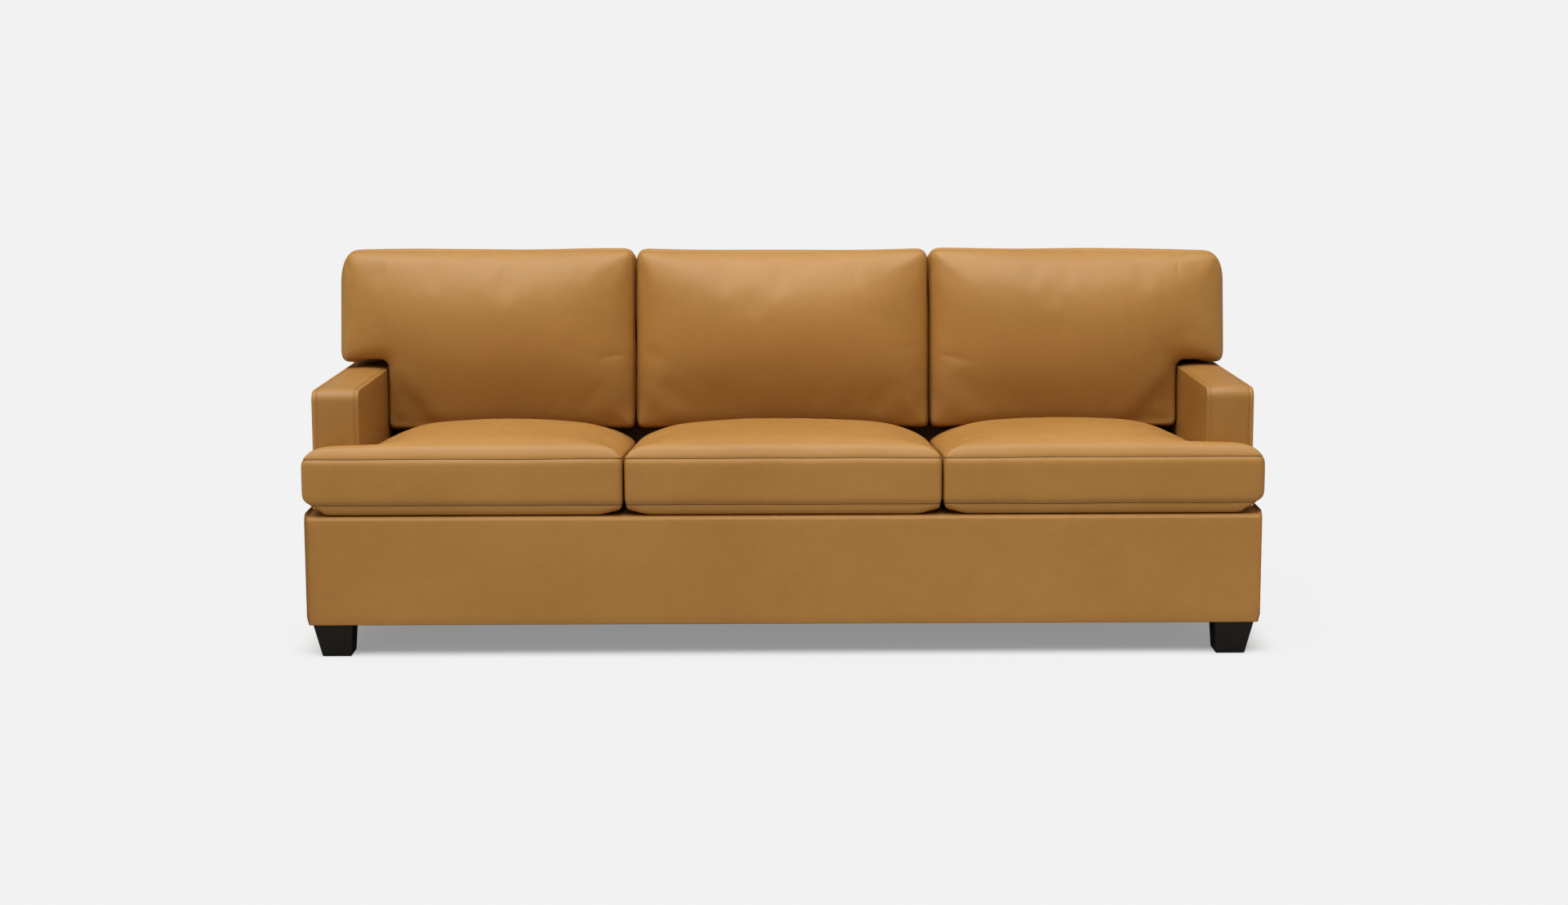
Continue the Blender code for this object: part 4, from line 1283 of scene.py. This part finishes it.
def zips():
    for place, word in CUSHIONS:
        middle = place * (ARM_INSIDE * 2 / 3)
        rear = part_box(f"seat_cover_{word}")[1].y - 0.0022
        start = (middle + ZIP_LENGTH / 2, rear, SEAT_ZIP_HEIGHT)
        make_zip(f"seat_zip_{word}", f"seat_cushion_{word}", start, (-1, 0, 0), (0, 1, 0))
        under = (middle - ZIP_LENGTH / 2, -BACK_SINK - 0.0006, BACK_ZIP_FORWARD)
        out = BACK_FRAME.to_3x3() @ Vector((0, -1, 0))
        start = BACK_FRAME @ Vector(under)
        make_zip(f"back_zip_{word}", f"back_cushion_{word}", start, (1, 0, 0), out)


# Floor, light and camera


WHITE = (1, 1, 1, 1)
BACKDROP = 0.888  # what the camera sees behind the sofa
AMBIENT = 0.36
FLOOR_GLOW = 0.27  # of the floor, for the camera only
FLOOR_GREY = 0.475
FLOOR_BOUNCE = (0.37, 0.345, 0.31, 1)  # the floor's colour for light that bounces
FLOOR_HALF = 60
SHADOW_TRIM = 0.9  # share of the soft shadow outside the sofa's footprint that is lit away
SHADOW_EDGES = (("X", 1.06, 1.16), ("Y", 0.36, 0.47))  # half sizes between which it goes
LIGHTS = (  # name, strength, angular size, elevation, degrees to the left of straight on, colour
    ("key", 2.66, 56.0, 73.0, -24.0, (0.985, 1.025, 1.03)),
    ("fill", 0.28, 50.0, 34.0, -20.0, (1.0, 0.94, 0.85)),
)


def studio():
    corners = [(x * FLOOR_HALF, y * FLOOR_HALF, 0) for x, y in ((-1, -1), (1, -1), (1, 1), (-1, 1))]
    floor = mesh_object("floor", corners, [(0, 1, 2, 3)], floor_material())
    world = bpy.data.worlds.new("studio")
    bpy.context.scene.world = world
    world.use_nodes = True
    tree = world.node_tree
    light = tree.nodes["Background"]
    coords = add_node(tree, "ShaderNodeTexCoord").outputs["Generated"]
    height = add_node(tree, "ShaderNodeSeparateXYZ", Vector=coords).outputs["Z"]
    dome = map_range(tree, height, -0.1, 0.8, 0.25, 1.5)
    warm = mix_colours(tree, 1.0, dome, (1.0, 0.950, 0.87, 1), "MULTIPLY")
    tree.links.new(warm, light.inputs["Color"])
    light.inputs["Strength"].default_value = AMBIENT
    seen = add_node(tree, "ShaderNodeBackground", Color=WHITE, Strength=BACKDROP)
    by_camera = add_node(tree, "ShaderNodeLightPath").outputs["Is Camera Ray"]
    mixed = mix_shaders(tree, by_camera, light, seen)
    tree.links.new(mixed, tree.nodes["World Output"].inputs["Surface"])
    for name, strength, spread, elevation, azimuth, colour in LIGHTS:
        data = bpy.data.lights.new(name, "SUN")
        data.energy = strength
        data.angle = math.radians(spread)
        data.color = colour
        turn = (math.radians(90 - elevation), 0, math.radians(azimuth))
        new_object(name, data).rotation_euler = turn
    view = bpy.context.scene.view_settings
    view.view_transform = "Standard"
    view.look = "None"


def near_sofa(tree):
    """1 on the floor under the sofa, falling to 0 just outside it."""
    place = add_node(tree, "ShaderNodeSeparateXYZ", Vector=object_coords(tree))
    shares = []
    for axis, inside, outside in SHADOW_EDGES:
        far = compute(tree, "ABSOLUTE", place.outputs[axis])
        shares.append(map_range(tree, far, inside, outside, 1.0, 0.0, "SMOOTHSTEP"))
    return compute(tree, "MULTIPLY", *shares)


def mix_shaders(tree, share, first, second):
    made = add_node(tree, "ShaderNodeMixShader")
    for socket, value in zip(made.inputs, (share, first.outputs[0], second.outputs[0])):
        tree.links.new(value, socket)
    return made.outputs[0]


def floor_material():
    made, tree, shader = new_material("pale_floor", 0.9)
    shader.inputs["Specular IOR Level"].default_value = 0.0
    seen = add_node(tree, "ShaderNodeLightPath").outputs["Is Camera Ray"]
    grey = (FLOOR_GREY, FLOOR_GREY, FLOOR_GREY, 1)
    tree.links.new(mix_colours(tree, seen, FLOOR_BOUNCE, grey), shader.inputs["Base Color"])
    shader.inputs["Emission Color"].default_value = WHITE
    glow = compute(tree, "MULTIPLY", seen, FLOOR_GLOW)
    tree.links.new(glow, shader.inputs["Emission Strength"])
    # Painted light: outside the sofa's footprint an even glow covers the floor's soft shadow, by
    # SHADOW_TRIM.
    blank = add_node(tree, "ShaderNodeEmission", Color=WHITE, Strength=BACKDROP)
    away = compute(tree, "MULTIPLY_ADD", near_sofa(tree), -SHADOW_TRIM, SHADOW_TRIM)
    share = compute(tree, "MULTIPLY", away, seen)
    mixed = mix_shaders(tree, share, shader, blank)
    tree.links.new(mixed, tree.nodes["Material Output"].inputs["Surface"])
    return made


CAMERA_PLACE = (-0.008, -6.510, 1.3996)
CAMERA_LENS = 61.95  # mm, for a sensor 36 mm wide
CAMERA_TURNS = ((-0.097, "Z"), (81.315, "X"), (-0.2, "Z"))  # aim, tilt and roll, in degrees


def camera():
    data = bpy.data.cameras.new("camera")
    data.sensor_width = 36.0
    data.lens = CAMERA_LENS
    made = new_object("camera", data)
    aim, tilt, roll = (Matrix.Rotation(math.radians(turn), 4, axis) for turn, axis in CAMERA_TURNS)
    made.matrix_world = Matrix.Translation(CAMERA_PLACE) @ (aim @ tilt) @ roll
    bpy.context.scene.camera = made


def main():
    camera()
    dress_cad_nodes()
    for place, word in CUSHIONS:
        seat_cushion(place, word)
        back_cushion(place, word)
    leather_panels()
    apron()
    back_leather()
    deck()
    zips()
    studio()


main()
